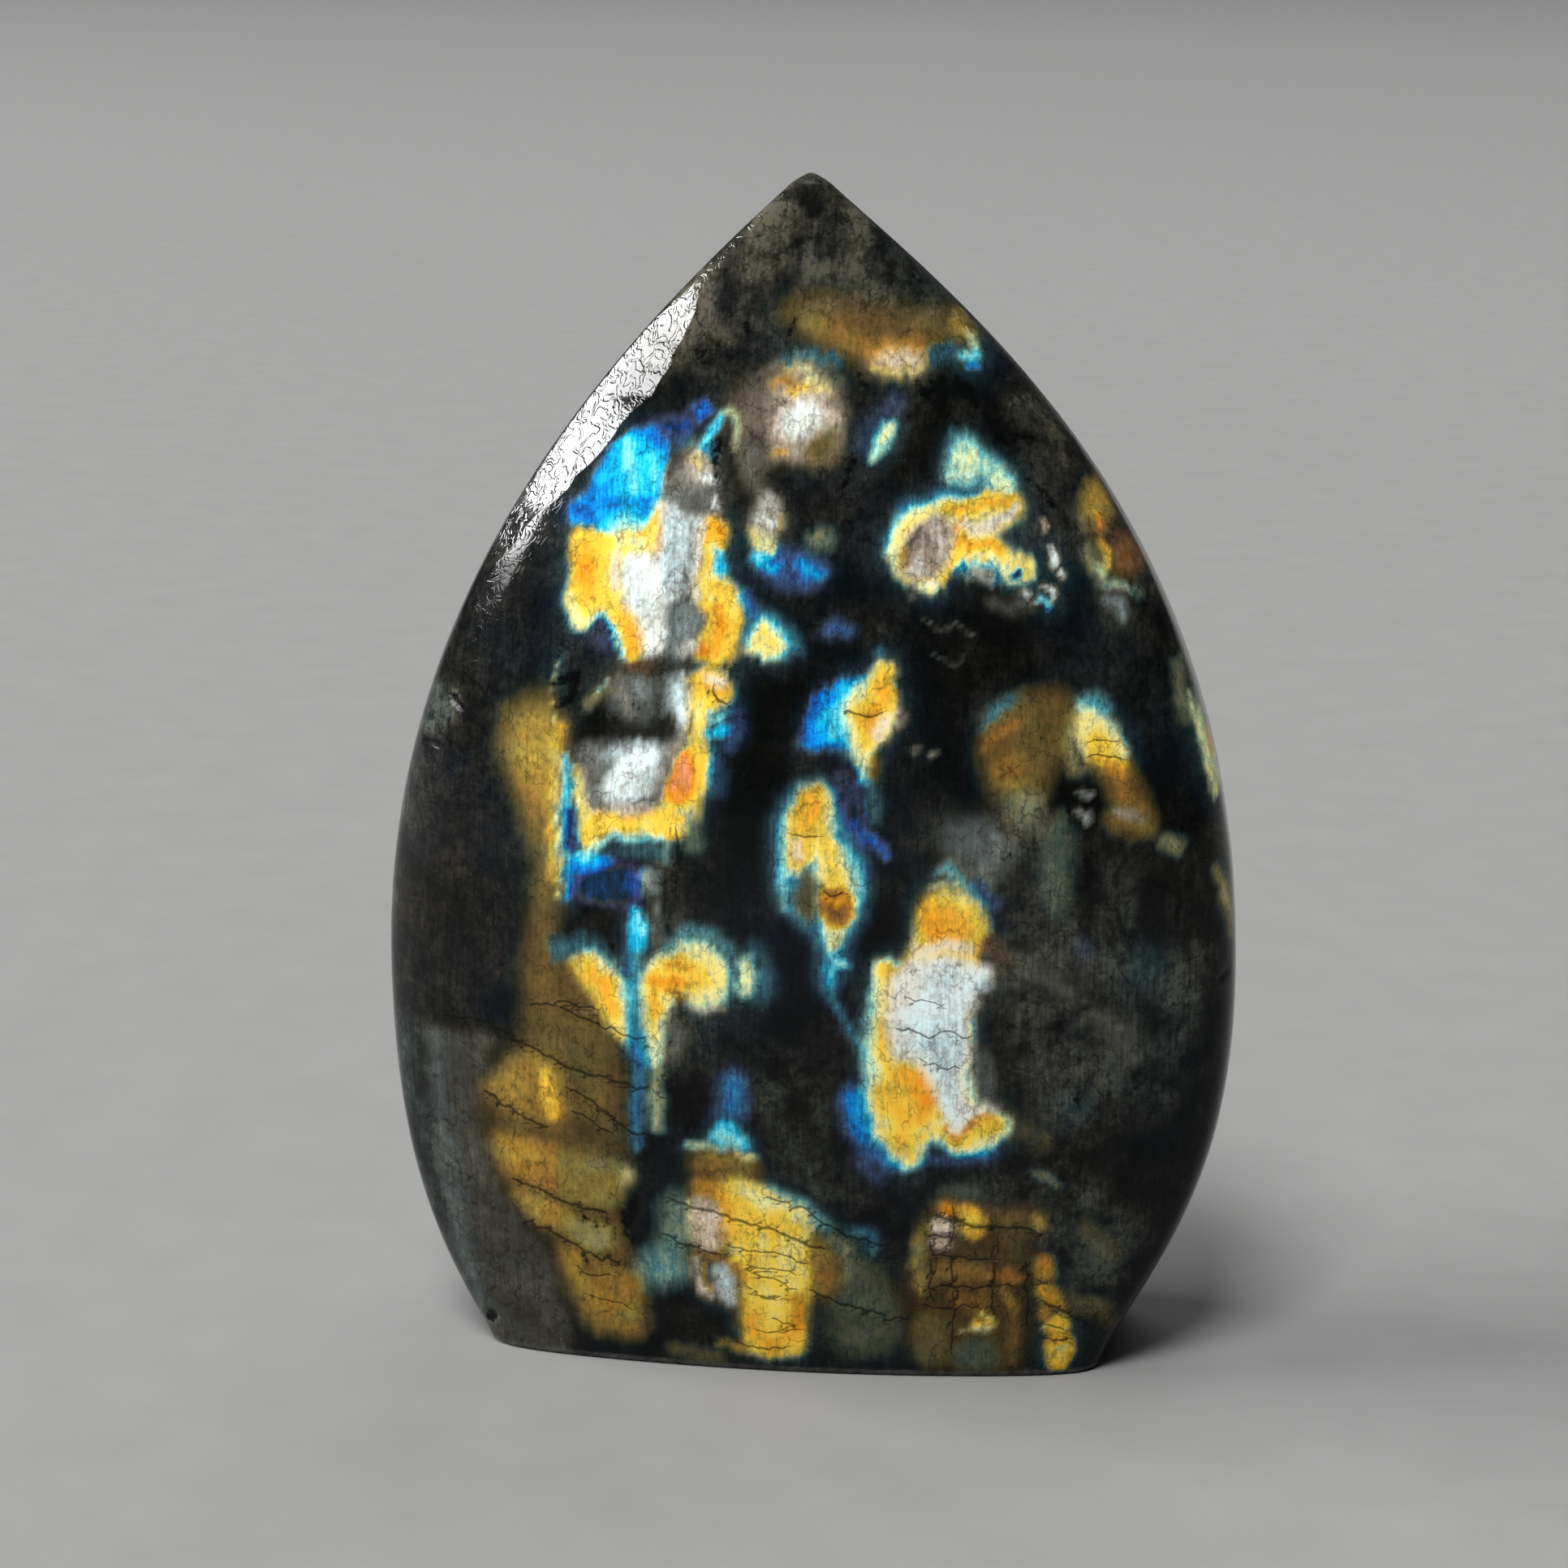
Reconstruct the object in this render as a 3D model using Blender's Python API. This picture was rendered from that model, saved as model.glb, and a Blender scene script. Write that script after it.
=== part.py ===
"""A polished spectrolite flame: one stone that stands on a flat sawn base.

The stone is a loft of level sections. Seen from the front it is a flame: nearly straight sides meet at a
blunt tip, and below they swing out to the widest place and in again to the base. Each level section is a
pillow with a domed front and back, whose shoulders are tight at the base and at the tip and rounder between.
X runs to the right, Z up, and the front looks along -Y. The origin is the middle of the base.
"""

import math

import bmesh
import bpy
import numpy as np
from mathutils import Vector, geometry

MM = 0.001
NAME = "stone"
COLLECTION = "spectrolite_flame"

# The whole stone, in millimetres.
HEIGHT = 100.0
TIP_ROUNDING = 0.9
TIP_FLAT = 0.3
BASE_CHAMFER = 0.4

# The outline of the broad face. Each side is two Bezier arcs, from the base corner to the widest place and
# from there to the tip. Its x is measured outwards from the middle line, a pull is the length of a handle,
# and an angle is measured from level.
MIDDLE_X = -0.3
TIP_HALF_WIDTH = 0.7
TIP_ANGLE = 42.0
TIP_PULL = 16.0
RIGHT_SIDE = {
    "base_x": 25.8,
    "base_angle": 68.0,
    "base_pull": 9.0,
    "widest_x": 36.4,
    "widest_z": 32.7,
    "pull_down": 18.0,
    "pull_up": 39.5,
}
LEFT_SIDE = {
    "base_x": 27.0,
    "base_angle": 63.0,
    "base_pull": 8.3,
    "widest_x": 35.8,
    "widest_z": 34.5,
    "pull_down": 19.7,
    "pull_up": 33.3,
}

# Half the thickness: at the base, at the thickest level, and the power by which it falls to the tip.
BASE_HALF_DEPTH = 11.5
HALF_DEPTH = 14.8
THICKEST_Z = 32.0
TAPER_POWER = 1.85
TIP_HALF_DEPTH = 0.8

# How far the broad faces have fallen away at the sides, as a share of the half thickness.
DOME = 0.21

# How square the sections are: 2 is an ellipse, and 11 has tight corners. What the base and the tip add
# to the rest fades over these heights.
SQUARENESS = 3.4
BASE_ADDS, BASE_FADE = 7.6, 14.0
TIP_ADDS, TIP_FADE = 1.6, 8.0

# The mesh. Points gather where a section turns: TURN_SHARE weighs turning against length.
RINGS = 36
RING_POINTS = 56
CROWDING = 0.35
TIP_RINGS = 4
TURN_SHARE = 0.8
DENSE_POINTS = 720
BEZIER_STEPS = 80
SHARP_EDGE = math.radians(35.0)

STONE_COLOUR = (0.045, 0.052, 0.046, 1.0)
STONE_ROUGHNESS = 0.16
STONE_IOR = 1.56


def clear_scene():
    for item in list(bpy.data.objects):
        bpy.data.objects.remove(item, do_unlink=True)


def side_outline(side):
    """Points (distance from the middle line, height) up one side, from the base corner to the tip."""
    corner = Vector((side["base_x"], 0.0))
    widest = Vector((side["widest_x"], side["widest_z"]))
    tip = Vector((TIP_HALF_WIDTH, HEIGHT))
    flare = math.radians(side["base_angle"])
    slope = math.radians(TIP_ANGLE)
    after_corner = corner + side["base_pull"] * Vector((math.cos(flare), math.sin(flare)))
    before_widest = widest - Vector((0.0, side["pull_down"]))
    after_widest = widest + Vector((0.0, side["pull_up"]))
    before_tip = tip + TIP_PULL * Vector((math.cos(slope), -math.sin(slope)))
    lower = geometry.interpolate_bezier(corner, after_corner, before_widest, widest, BEZIER_STEPS)
    upper = geometry.interpolate_bezier(widest, after_widest, before_tip, tip, BEZIER_STEPS)
    return np.array([tuple(point) for point in lower + upper[1:]])


def squareness(height):
    at_base = BASE_ADDS * math.exp(-height / BASE_FADE)
    at_tip = TIP_ADDS * math.exp((height - HEIGHT) / TIP_FADE)
    return SQUARENESS + at_base + at_tip


def half_depth(height):
    """Half the stone's thickness in the middle of the section at this height."""
    if height < THICKEST_Z:
        below = (THICKEST_Z - height) / THICKEST_Z
        return HALF_DEPTH - (HALF_DEPTH - BASE_HALF_DEPTH) * below**2
    above = (height - THICKEST_Z) / (HEIGHT - THICKEST_Z)
    return HALF_DEPTH - (HALF_DEPTH - TIP_HALF_DEPTH) * above**TAPER_POWER


def tip_rounding(height):
    """1 up to the blunt end of the stone, then round to TIP_FLAT at its top."""
    above = max(height - (HEIGHT - TIP_ROUNDING), 0.0) / TIP_ROUNDING
    return math.sqrt(1.0 - (1.0 - TIP_FLAT**2) * above**2)


def evenly_spaced(points, count):
    """The closed line through these points, as count points spaced by length and by turning."""
    closed = np.vstack([points, points[:1]])
    steps = np.diff(closed, axis=0)
    lengths = np.hypot(steps[:, 0], steps[:, 1])
    directions = np.unwrap(np.arctan2(steps[:, 1], steps[:, 0]))
    turns = np.abs(np.gradient(directions))
    weights = lengths / lengths.sum() + TURN_SHARE * turns / turns.sum()
    along = np.concatenate([[0.0], np.cumsum(weights)])
    wanted = np.linspace(0.0, along[-1], count, endpoint=False)
    return np.column_stack([np.interp(wanted, along, axis) for axis in closed.T])


def section(height, right, left):
    """The section at this height, as (x, y) points from the right side round by the back."""
    power = squareness(height)
    rounding = tip_rounding(height)
    turn = np.linspace(0.0, 2.0 * math.pi, DENSE_POINTS, endpoint=False)
    across, deep = np.cos(turn), np.sin(turn)
    reach = (np.abs(across) ** power + np.abs(deep) ** power) ** (-1.0 / power)
    across, deep = across * reach, deep * reach
    right_width, left_width = [np.interp(height, side[:, 1], side[:, 0]) for side in (right, left)]
    x = MIDDLE_X + across * np.where(across > 0.0, right_width, left_width) * rounding
    y = deep * (1.0 - DOME * across**2) * half_depth(height) * rounding
    return evenly_spaced(np.column_stack([x, y]), RING_POINTS)


def ring_heights():
    """Heights of the rings: closer together near the base and the tip, and round over the tip."""
    top = HEIGHT - TIP_ROUNDING
    share = np.linspace(0.0, 1.0, RINGS)
    share = (1.0 - CROWDING) * share + CROWDING * (1.0 - np.cos(math.pi * share)) / 2.0
    body = BASE_CHAMFER + (top - BASE_CHAMFER) * share
    tip = top + TIP_ROUNDING * np.sin(np.linspace(0.0, math.pi / 2.0, TIP_RINGS))
    return np.concatenate([body, tip[1:]])


def chamfered(outline, inset):
    """The section drawn in by the inset on each side."""
    half_size = np.ptp(outline, axis=0) / 2.0
    return outline * (half_size - inset) / half_size


def stone_rings():
    right, left = side_outline(RIGHT_SIDE), side_outline(LEFT_SIDE)
    rings = [(height, section(height, right, left)) for height in ring_heights()]
    foot = (0.0, chamfered(section(0.0, right, left), BASE_CHAMFER))
    return [foot] + rings


def loft(rings):
    """A closed mesh through the rings, flat at both ends."""
    shape = bmesh.new()
    loops = []
    for height, outline in rings:
        loops.append([shape.verts.new((x * MM, y * MM, height * MM)) for x, y in outline])
    for lower, upper in zip(loops, loops[1:]):
        for i in range(RING_POINTS):
            j = (i + 1) % RING_POINTS
            shape.faces.new((lower[i], lower[j], upper[j], upper[i]))
    shape.faces.new(reversed(loops[0]))
    shape.faces.new(loops[-1])
    return shape


def stone_material():
    material = bpy.data.materials.new("polished_spectrolite")
    material.use_nodes = True
    surface = material.node_tree.nodes["Principled BSDF"]
    surface.inputs["Base Color"].default_value = STONE_COLOUR
    surface.inputs["Roughness"].default_value = STONE_ROUGHNESS
    surface.inputs["Metallic"].default_value = 0.0
    surface.inputs["IOR"].default_value = STONE_IOR
    material.diffuse_color = STONE_COLOUR
    return material


def make_stone(collection):
    shape = loft(stone_rings())
    mesh = bpy.data.meshes.new(NAME)
    shape.to_mesh(mesh)
    shape.free()
    mesh.shade_smooth()
    mesh.set_sharp_from_angle(angle=SHARP_EDGE)
    mesh.materials.append(stone_material())
    stone = bpy.data.objects.new(NAME, mesh)
    collection.objects.link(stone)


def main():
    clear_scene()
    collection = bpy.data.collections.new(COLLECTION)
    bpy.context.scene.collection.children.link(collection)
    make_stone(collection)


main()
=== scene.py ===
"""A polished spectrolite flame on a pale floor, in plain soft studio light.

The stone is one fine mesh over the form of its solid: the same outline and sections, with the low waves of
hand polishing, a ripple on the shoulders, and pits. Its colours are worked out point by point and kept
as attributes of the mesh. Heat says how far the colour of a flash has run, from navy through blue, cyan,
yellow and orange to white, and strength how brightly it shines. Paleness and warmth give the grey of the
stone, with a painted reflection of the floor on its lower left. Lengths are in millimetres, except where
metres are named. X runs to the right, Z up, and the front looks along -Y.
"""

import itertools
import math

import bpy
import numpy as np
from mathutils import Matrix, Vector, geometry


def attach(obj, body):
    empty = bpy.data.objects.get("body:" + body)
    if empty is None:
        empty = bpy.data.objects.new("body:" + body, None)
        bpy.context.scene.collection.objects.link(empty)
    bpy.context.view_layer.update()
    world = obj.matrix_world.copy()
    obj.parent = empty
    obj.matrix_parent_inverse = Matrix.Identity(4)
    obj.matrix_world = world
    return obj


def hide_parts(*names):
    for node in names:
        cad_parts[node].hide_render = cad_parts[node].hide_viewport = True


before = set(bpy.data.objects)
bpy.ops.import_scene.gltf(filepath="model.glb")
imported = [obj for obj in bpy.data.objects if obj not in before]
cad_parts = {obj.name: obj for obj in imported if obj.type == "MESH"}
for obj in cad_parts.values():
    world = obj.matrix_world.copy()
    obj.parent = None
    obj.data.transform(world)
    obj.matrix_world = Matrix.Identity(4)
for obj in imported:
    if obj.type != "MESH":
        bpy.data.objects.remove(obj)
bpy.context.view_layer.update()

MM = 0.001
NODE = "stone"

# The form of the stone, as in its solid.
HEIGHT = 100.0
TIP_ROUNDING = 0.9
TIP_FLAT = 0.3
BASE_CHAMFER = 0.4
MIDDLE_X = -0.3
TIP_HALF_WIDTH = 0.7
TIP_ANGLE = 42.0
TIP_PULL = 16.0
RIGHT_SIDE = {
    "base_x": 25.8,
    "base_angle": 68.0,
    "base_pull": 9.0,
    "widest_x": 36.4,
    "widest_z": 32.7,
    "pull_down": 18.0,
    "pull_up": 39.5,
}
LEFT_SIDE = {
    "base_x": 27.0,
    "base_angle": 63.0,
    "base_pull": 8.3,
    "widest_x": 35.8,
    "widest_z": 34.5,
    "pull_down": 19.7,
    "pull_up": 33.3,
}
BASE_HALF_DEPTH = 11.5
HALF_DEPTH = 14.8
THICKEST_Z = 32.0
TAPER_POWER = 1.85
TIP_HALF_DEPTH = 0.8
DOME = 0.21
SQUARENESS = 3.4
BASE_ADDS, BASE_FADE = 7.6, 14.0
TIP_ADDS, TIP_FADE = 1.6, 8.0

# A noise is given as its amount either way, the size of its lumps and its seed. The size is one number or one
# for each axis. Each noise draws on a table of random values, over which the keys scatter its lumps.
NOISE_VALUES = 4096
NOISE_KEYS = (73856093, 19349663, 83492791)

# The flat that was ground along the upper left shoulder: the line of its inner edge as (z, x), how that edge
# wanders, its outer edge as a share of the half width, how flat it is, and the heights over which it starts
# and ends.
FLAT_INNER = [(60.0, -30.6), (66.0, -27.4), (70.3, -24.2), (71.5, -23.0), (74.0, -20.5), (77.0, -17.5),
              (80.0, -15.2), (82.0, -13.3), (85.0, -11.3), (88.0, -10.0), (90.0, -9.2), (92.5, -7.6)]
FLAT_WANDER = (0.35, 1.1, 45)
FLAT_OUTER = 0.985
FLATNESS = 0.85
FLAT_START = (64.0, 71.0)
FLAT_END = (88.0, 91.8)

# The fine mesh. A ring's points lie FRONT_SHARE times closer on the front half than on the back half, and
# TURN_SHARE says how much they crowd where the ring turns.
LEVELS = 322
FOOT_LEVELS = 3
TIP_LEVELS = 5
RING_POINTS = 300
FRONT_SHARE = 2.3
TURN_SHARE = 0.35
DENSE_POINTS = 1440
BEZIER_STEPS = 160

# The relief, all of it cut inwards, as noises round half their depth. The broad faces have FACE_RIPPLE of
# the ripple that the shoulders have. A shoulder begins, and is full, where the normal leans so far aside.
SKIN = 0.02
WAVES = (0.025, 7.0, 21)
RIPPLES = [(0.006, 1.3, 22), (0.0025, 0.6, 23)]
FACE_RIPPLE = 0.3
SHOULDER_LEAN = (0.15, 0.65)

# How much the polish shows its ripple: on the ground flat, which begins over these heights, and elsewhere.
FLAT_SHOWS, REST_SHOWS = 1.0, 0.25
FLAT_SHOWS_FROM = (67.0, 72.0)

# The heights over which the tip and the edge of the base are worn dull, and the base is left frosted.
TIP_WORN = (98.6, 99.4)
BASE_WORN = (0.9, 0.3)
BASE_FROSTED = (0.75, 0.25)

# Pits on the front, as (x, z, half length, half width, turn in degrees, depth). Their dark ends where in_pit
# gives -PIT_DARK, a little past their edge.
PITS = [
    (-29.0, 57.1, 1.25, 0.5, -45.0, 0.16),
    (-31.2, 53.4, 1.3, 0.45, -4.0, 0.16),
    (-26.9, 2.9, 0.9, 0.7, 60.0, 0.35),
    (-20.0, 59.4, 0.7, 0.3, 20.0, 0.10),
    (34.9, 35.3, 0.8, 0.5, 30.0, 0.15),
    (-8.6, 86.1, 0.6, 0.35, 10.0, 0.12),
]
PIT_DARK = 0.1

# The flashes, painted one over the other as (heat, strength, rim, shape). A shape of (x, z) points is an
# outline whose corners are rounded, and one of (x, z, radius) points is a streak along them. The rim is the
# width over which a flash sets in. A few layers paint a sheen instead, a reflection of the floor.
TOP_BAND = [
    (0.57, 0.15, 2.6, [(-2.6, 89.6), (0.6, 90.8), (4.0, 90.2), (8.0, 89.4), (11.6, 89.4), (12.8, 88.2),
                       (11.6, 87.0), (9.8, 85.4), (6.5, 84.6), (3.5, 85.4), (1.0, 86.8), (-1.0, 88.2)]),
    (0.55, 0.26, 1.8, [(0.2, 88.4, 0.6), (2.6, 87.4, 0.9), (4.6, 86.6, 0.7)]),
    (0.60, 0.50, 2.0, [(4.8, 85.6), (6.4, 87.2), (8.8, 87.2), (9.9, 85.9), (8.8, 84.8), (6.2, 84.6)]),
    (0.82, 0.62, 1.8, [(6.0, 85.4, 0.3), (7.4, 85.9, 0.6), (8.8, 85.6, 0.4)]),
    (0.47, 0.60, 0.6, [(5.4, 84.9, 0.12), (7.4, 84.8, 0.15), (9.2, 84.9, 0.1)]),
    (0.30, 0.28, 1.2, [(-1.4, 85.5, 0.2), (0.4, 85.7, 0.25), (2.4, 85.2, 0.2)]),
    (0.28, 0.20, 1.5, [(10.2, 85.8, 0.4), (11.6, 86.2, 0.5)]),
    (0.50, 0.35, 1.2, [(11.8, 88.6, 0.5), (12.6, 87.6, 0.4)]),
    (0.42, 0.60, 0.8, [(12.9, 87.6, 0.25), (13.2, 86.8, 0.25)]),
    (0.35, 1.00, 0.9, [(12.5, 86.0, 0.3), (13.3, 86.1, 0.45)]),
    (0.25, 0.80, 0.8, [(12.9, 85.2, 0.25), (13.6, 85.2, 0.2)]),
]
ROUND_PATCH = [
    (0.31, 0.22, 1.4, [(-3.4, 84.6, 0.3), (-1.6, 85.6, 0.3), (0.4, 85.4, 0.35), (2.6, 83.8, 0.2)]),
    (0.81, 0.15, 2.2, [(-5.4, 83.4), (-3.6, 84.4), (-2.4, 84.4), (-2.4, 77.0), (-5.0, 77.0), (-5.6, 80.2)]),
    (0.81, 0.38, 1.5, [(-3.0, 83.8), (-1.6, 84.9), (0.6, 84.8), (2.2, 83.6), (3.3, 81.6), (3.2, 79.0),
                       (1.8, 77.4), (-0.6, 77.4), (-2.6, 77.8), (-3.0, 80.4)]),
    (0.42, 0.62, 0.9, [(-1.7, 84.9, 0.15), (-0.2, 84.8, 0.3), (1.4, 83.9, 0.3), (2.3, 83.0, 0.1)]),
    (0.60, 0.40, 1.2, [(-2.6, 83.6, 0.4), (-1.4, 84.0, 0.5), (-0.6, 83.2, 0.4)]),
    (0.58, 0.85, 0.9, [(-1.3, 82.9, 0.2), (-0.4, 82.8, 0.35), (0.4, 83.3, 0.3)]),
    (0.47, 0.80, 0.8, [(0.4, 83.9, 0.2), (1.3, 83.0, 0.3)]),
    (0.92, 0.90, 1.8, [(-2.2, 81.0), (-1.0, 82.2), (0.6, 82.4), (1.8, 82.0), (1.6, 80.8), (0.6, 79.6),
                       (-0.8, 79.4), (-2.2, 79.8)]),
    (0.82, 0.70, 1.0, [(1.8, 81.8, 0.3), (2.6, 81.0, 0.3)]),
    (0.55, 0.16, 1.3, [(0.8, 79.4), (2.4, 80.4), (2.9, 79.4), (2.3, 77.9), (0.6, 77.5), (0.0, 78.2)]),
    (0.60, 0.50, 0.8, [(-2.4, 78.4, 0.25), (-1.5, 78.1, 0.3)]),
    (0.86, 0.16, 1.6, [(-4.4, 78.2, 0.7), (-3.8, 76.0, 0.7), (-3.2, 74.8, 0.6)]),
]
UNDER_ROUND = [
    (0.19, 0.34, 1.6, [(-3.6, 70.4), (-1.5, 70.9), (0.6, 70.6), (2.3, 69.9), (2.1, 68.4), (0.4, 67.6),
                       (-1.2, 67.8), (-3.4, 69.0)]),
    (0.31, 0.85, 1.1, [(-3.9, 70.0, 0.3), (-2.8, 69.5, 0.4), (-1.8, 69.4, 0.2)]),
    (0.28, 0.75, 1.2, [(0.2, 70.0, 0.3), (0.9, 69.3, 0.5), (1.8, 68.9, 0.2)]),
    (0.46, 0.85, 1.0, [(-4.3, 72.6), (-2.4, 72.4), (-1.8, 71.0), (-2.6, 70.2), (-3.8, 70.4), (-4.3, 71.4)]),
    (0.88, 0.50, 1.2, [(-4.2, 73.2), (-3.4, 75.4), (-2.2, 75.2), (-1.5, 73.4), (-1.6, 71.9), (-4.0, 71.9)]),
    (0.93, 0.95, 0.8, [(-3.6, 73.0, 0.2), (-2.3, 72.7, 0.25)]),
    (0.58, 0.45, 0.6, [(-1.7, 73.4, 0.1), (-1.9, 72.2, 0.15)]),
    (0.41, 0.22, 1.2, [(0.6, 72.2), (2.2, 72.6), (3.0, 71.6), (2.2, 70.8), (1.0, 71.2)]),
    (0.47, 0.35, 0.6, [(1.6, 71.9, 0.15)]),
]
SLIT = [
    (0.22, 0.16, 2.2, [(5.0, 79.0, 0.6), (6.0, 80.8, 0.8), (7.0, 82.4, 0.6)]),
    (0.38, 0.95, 0.9, [(5.7, 77.9, 0.25), (6.1, 79.2, 0.75), (6.6, 80.4, 0.45)]),
    (0.45, 0.95, 0.7, [(6.2, 79.3, 0.3), (6.6, 80.4, 0.25)]),
]
GREEN_HEAD = [
    (0.33, 0.34, 1.4, [(11.3, 75.9), (11.5, 79.2), (12.0, 80.2), (13.2, 79.8), (14.6, 78.8), (16.2, 77.4),
                       (17.6, 75.6), (16.6, 75.0), (15.4, 75.0), (14.0, 75.8)]),
    (0.39, 0.85, 1.1, [(11.5, 76.4), (11.6, 78.2), (12.2, 79.4), (13.4, 79.3), (14.6, 78.2), (15.8, 77.2),
                       (17.1, 75.9), (16.2, 75.2), (15.2, 75.6), (14.4, 76.6), (13.6, 76.2),
                       (12.2, 76.2)]),
    (0.435, 0.95, 1.0, [(12.2, 78.0, 0.4), (12.9, 77.6, 0.5), (13.6, 78.2, 0.2)]),
    (0.425, 0.95, 0.9, [(15.4, 76.4, 0.3), (16.4, 75.8, 0.4)]),
    (0.36, 0.35, 0.7, [(14.3, 76.7, 0.25)]),
]
MASK = [
    (0.28, 0.42, 1.3, [(6.9, 71.4, 0.3), (8.4, 74.2, 0.3), (11.0, 75.1, 0.35), (13.6, 75.4, 0.35)]),
    (0.37, 0.90, 1.0, [(7.0, 70.6, 0.1), (7.6, 72.4, 0.25), (9.2, 74.0, 0.3), (11.2, 74.6, 0.25),
                       (13.6, 74.9, 0.2)]),
    (0.48, 0.95, 1.2, [(7.0, 70.8), (7.6, 72.8), (9.2, 74.2), (11.5, 74.7), (14.2, 75.0), (16.4, 75.4),
                       (17.9, 74.2), (17.5, 73.2), (16.2, 72.5), (15.6, 71.6), (16.6, 70.9), (18.5, 70.1),
                       (18.6, 68.5), (17.2, 68.1), (15.8, 69.6), (14.6, 70.3), (13.0, 70.0), (12.2, 69.4),
                       (11.3, 67.8), (10.3, 67.4), (9.2, 68.2), (7.7, 68.9)]),
    (0.59, 1.00, 1.0, [(11.6, 73.9, 0.2), (13.4, 74.1, 0.35), (15.2, 74.6, 0.4), (16.6, 74.5, 0.3)]),
    (0.52, 1.00, 0.8, [(13.6, 74.9, 0.2), (15.6, 75.2, 0.25)]),
    (0.65, 0.85, 0.9, [(12.2, 72.0, 0.3), (13.4, 71.3, 0.4), (15.0, 71.4, 0.35), (16.0, 71.0, 0.2)]),
    (0.50, 1.00, 0.9, [(12.2, 70.4, 0.35), (13.6, 70.5, 0.25), (15.0, 70.6, 0.3)]),
    (0.42, 0.95, 0.7, [(15.4, 70.4, 0.2), (16.6, 69.4, 0.2), (17.0, 68.6, 0.2), (17.8, 68.2, 0.2)]),
    (0.46, 0.85, 0.6, [(17.4, 70.2, 0.25), (18.4, 69.6, 0.2), (18.5, 68.8, 0.15)]),
    (0.83, 0.36, 1.1, [(8.0, 69.6), (8.1, 71.4), (9.2, 73.1), (11.2, 73.6), (12.3, 72.6), (12.0, 70.6),
                       (11.2, 68.9), (9.8, 68.5), (8.6, 68.8)]),
    (0.60, 0.38, 0.8, [(8.2, 69.8, 0.25), (8.4, 71.0, 0.25)]),
    (0.86, 0.60, 0.9, [(10.6, 73.0, 0.3), (11.2, 71.6, 0.4), (11.4, 70.6, 0.3)]),
    (0.92, 0.95, 0.8, [(9.6, 70.0, 0.3), (9.9, 69.2, 0.25)]),
    (0.88, 0.75, 0.7, [(8.8, 69.4, 0.15), (9.4, 70.8, 0.15)]),
    (None, 0.07, 0.5, [(8.7, 71.4, 0.1), (9.7, 72.8, 0.15)]),
    (None, 0.13, 0.5, [(9.9, 72.6, 0.08), (10.3, 71.4, 0.12)]),
    (0.43, 1.00, 0.6, [(10.0, 67.9, 0.25), (11.0, 67.9, 0.25)]),
    (0.93, 1.00, 0.5, [(10.3, 68.1, 0.15), (10.9, 68.3, 0.15)]),
    (0.84, 0.85, 1.0, [(12.6, 73.0, 0.25), (14.0, 72.6, 0.45), (15.6, 72.6, 0.4)]),
    (0.90, 0.95, 0.7, [(15.4, 73.0, 0.3), (16.6, 73.4, 0.35), (17.2, 74.0, 0.25)]),
    (None, 0.25, 0.5, [(13.2, 73.4, 0.1), (14.8, 73.3, 0.1)]),
    (None, 0.20, 0.4, [(12.6, 72.2, 0.1), (13.2, 71.8, 0.12)]),
    (0.70, 0.65, 0.6, [(12.3, 72.6, 0.15), (13.0, 73.3, 0.1)]),
    (0.97, 0.35, 0.35, [(9.3, 68.3, 0.1), (9.2, 67.4, 0.08), (9.3, 66.8, 0.08)]),
    (0.27, 0.55, 1.1, [(12.8, 69.4, 0.2), (14.2, 69.2, 0.5), (15.6, 68.8, 0.6)]),
    (0.98, 0.34, 1.0, [(14.0, 69.2, 0.3), (15.2, 68.8, 0.4)]),
    (0.36, 0.90, 0.6, [(12.6, 69.8, 0.12), (14.6, 69.9, 0.2), (15.6, 69.6, 0.2)]),
    (0.12, 0.10, 0.5, [(17.4, 68.9, 0.35)]),
    (0.95, 0.75, 0.35, [(18.2, 67.4, 0.3)]),
    (0.36, 0.70, 0.5, [(19.0, 66.9, 0.25), (19.8, 66.6, 0.35)]),
    (0.94, 0.70, 0.4, [(19.4, 67.9, 0.15), (20.3, 67.6, 0.3), (20.4, 67.0, 0.2)]),
    (0.94, 0.85, 0.45, [(19.9, 71.0, 0.15), (20.1, 70.2, 0.3), (20.4, 69.6, 0.2)]),
    (0.94, 0.75, 0.35, [(20.9, 68.8, 0.3)]),
    (0.84, 0.50, 0.4, [(19.2, 73.0, 0.15), (19.4, 72.4, 0.25)]),
    (0.20, 0.60, 0.4, [(19.8, 66.1, 0.15)]),
]
RIGHT_RIM = [
    (0.55, 0.36, 1.6, [(22.2, 74.8), (23.0, 76.0), (24.6, 74.6), (24.8, 72.6), (23.4, 72.0), (22.4, 72.8)]),
    (0.70, 0.22, 1.8, [(24.8, 71.4), (26.4, 71.2), (27.4, 69.4), (26.4, 68.4), (24.9, 68.8)]),
    (0.46, 0.32, 1.2, [(22.9, 71.0, 0.2), (23.3, 69.4, 0.4), (24.2, 68.2, 0.3)]),
    (0.66, 0.65, 0.9, [(23.6, 73.2, 0.15), (23.8, 72.2, 0.3)]),
    (0.55, 0.95, 0.9, [(23.9, 71.3, 0.2), (24.4, 70.2, 0.3), (24.5, 69.2, 0.2)]),
    (0.45, 0.80, 0.6, [(23.6, 69.4, 0.12), (24.3, 68.6, 0.2)]),
    (0.40, 0.50, 0.9, [(24.4, 67.8, 0.2), (25.6, 67.6, 0.3), (26.6, 67.4, 0.2)]),
    (0.99, 0.30, 1.2, [(24.4, 66.8, 0.25), (25.6, 66.2, 0.45), (26.0, 65.4, 0.3)]),
    (0.40, 0.22, 0.9, [(27.2, 66.8, 0.3)]),
]
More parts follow.
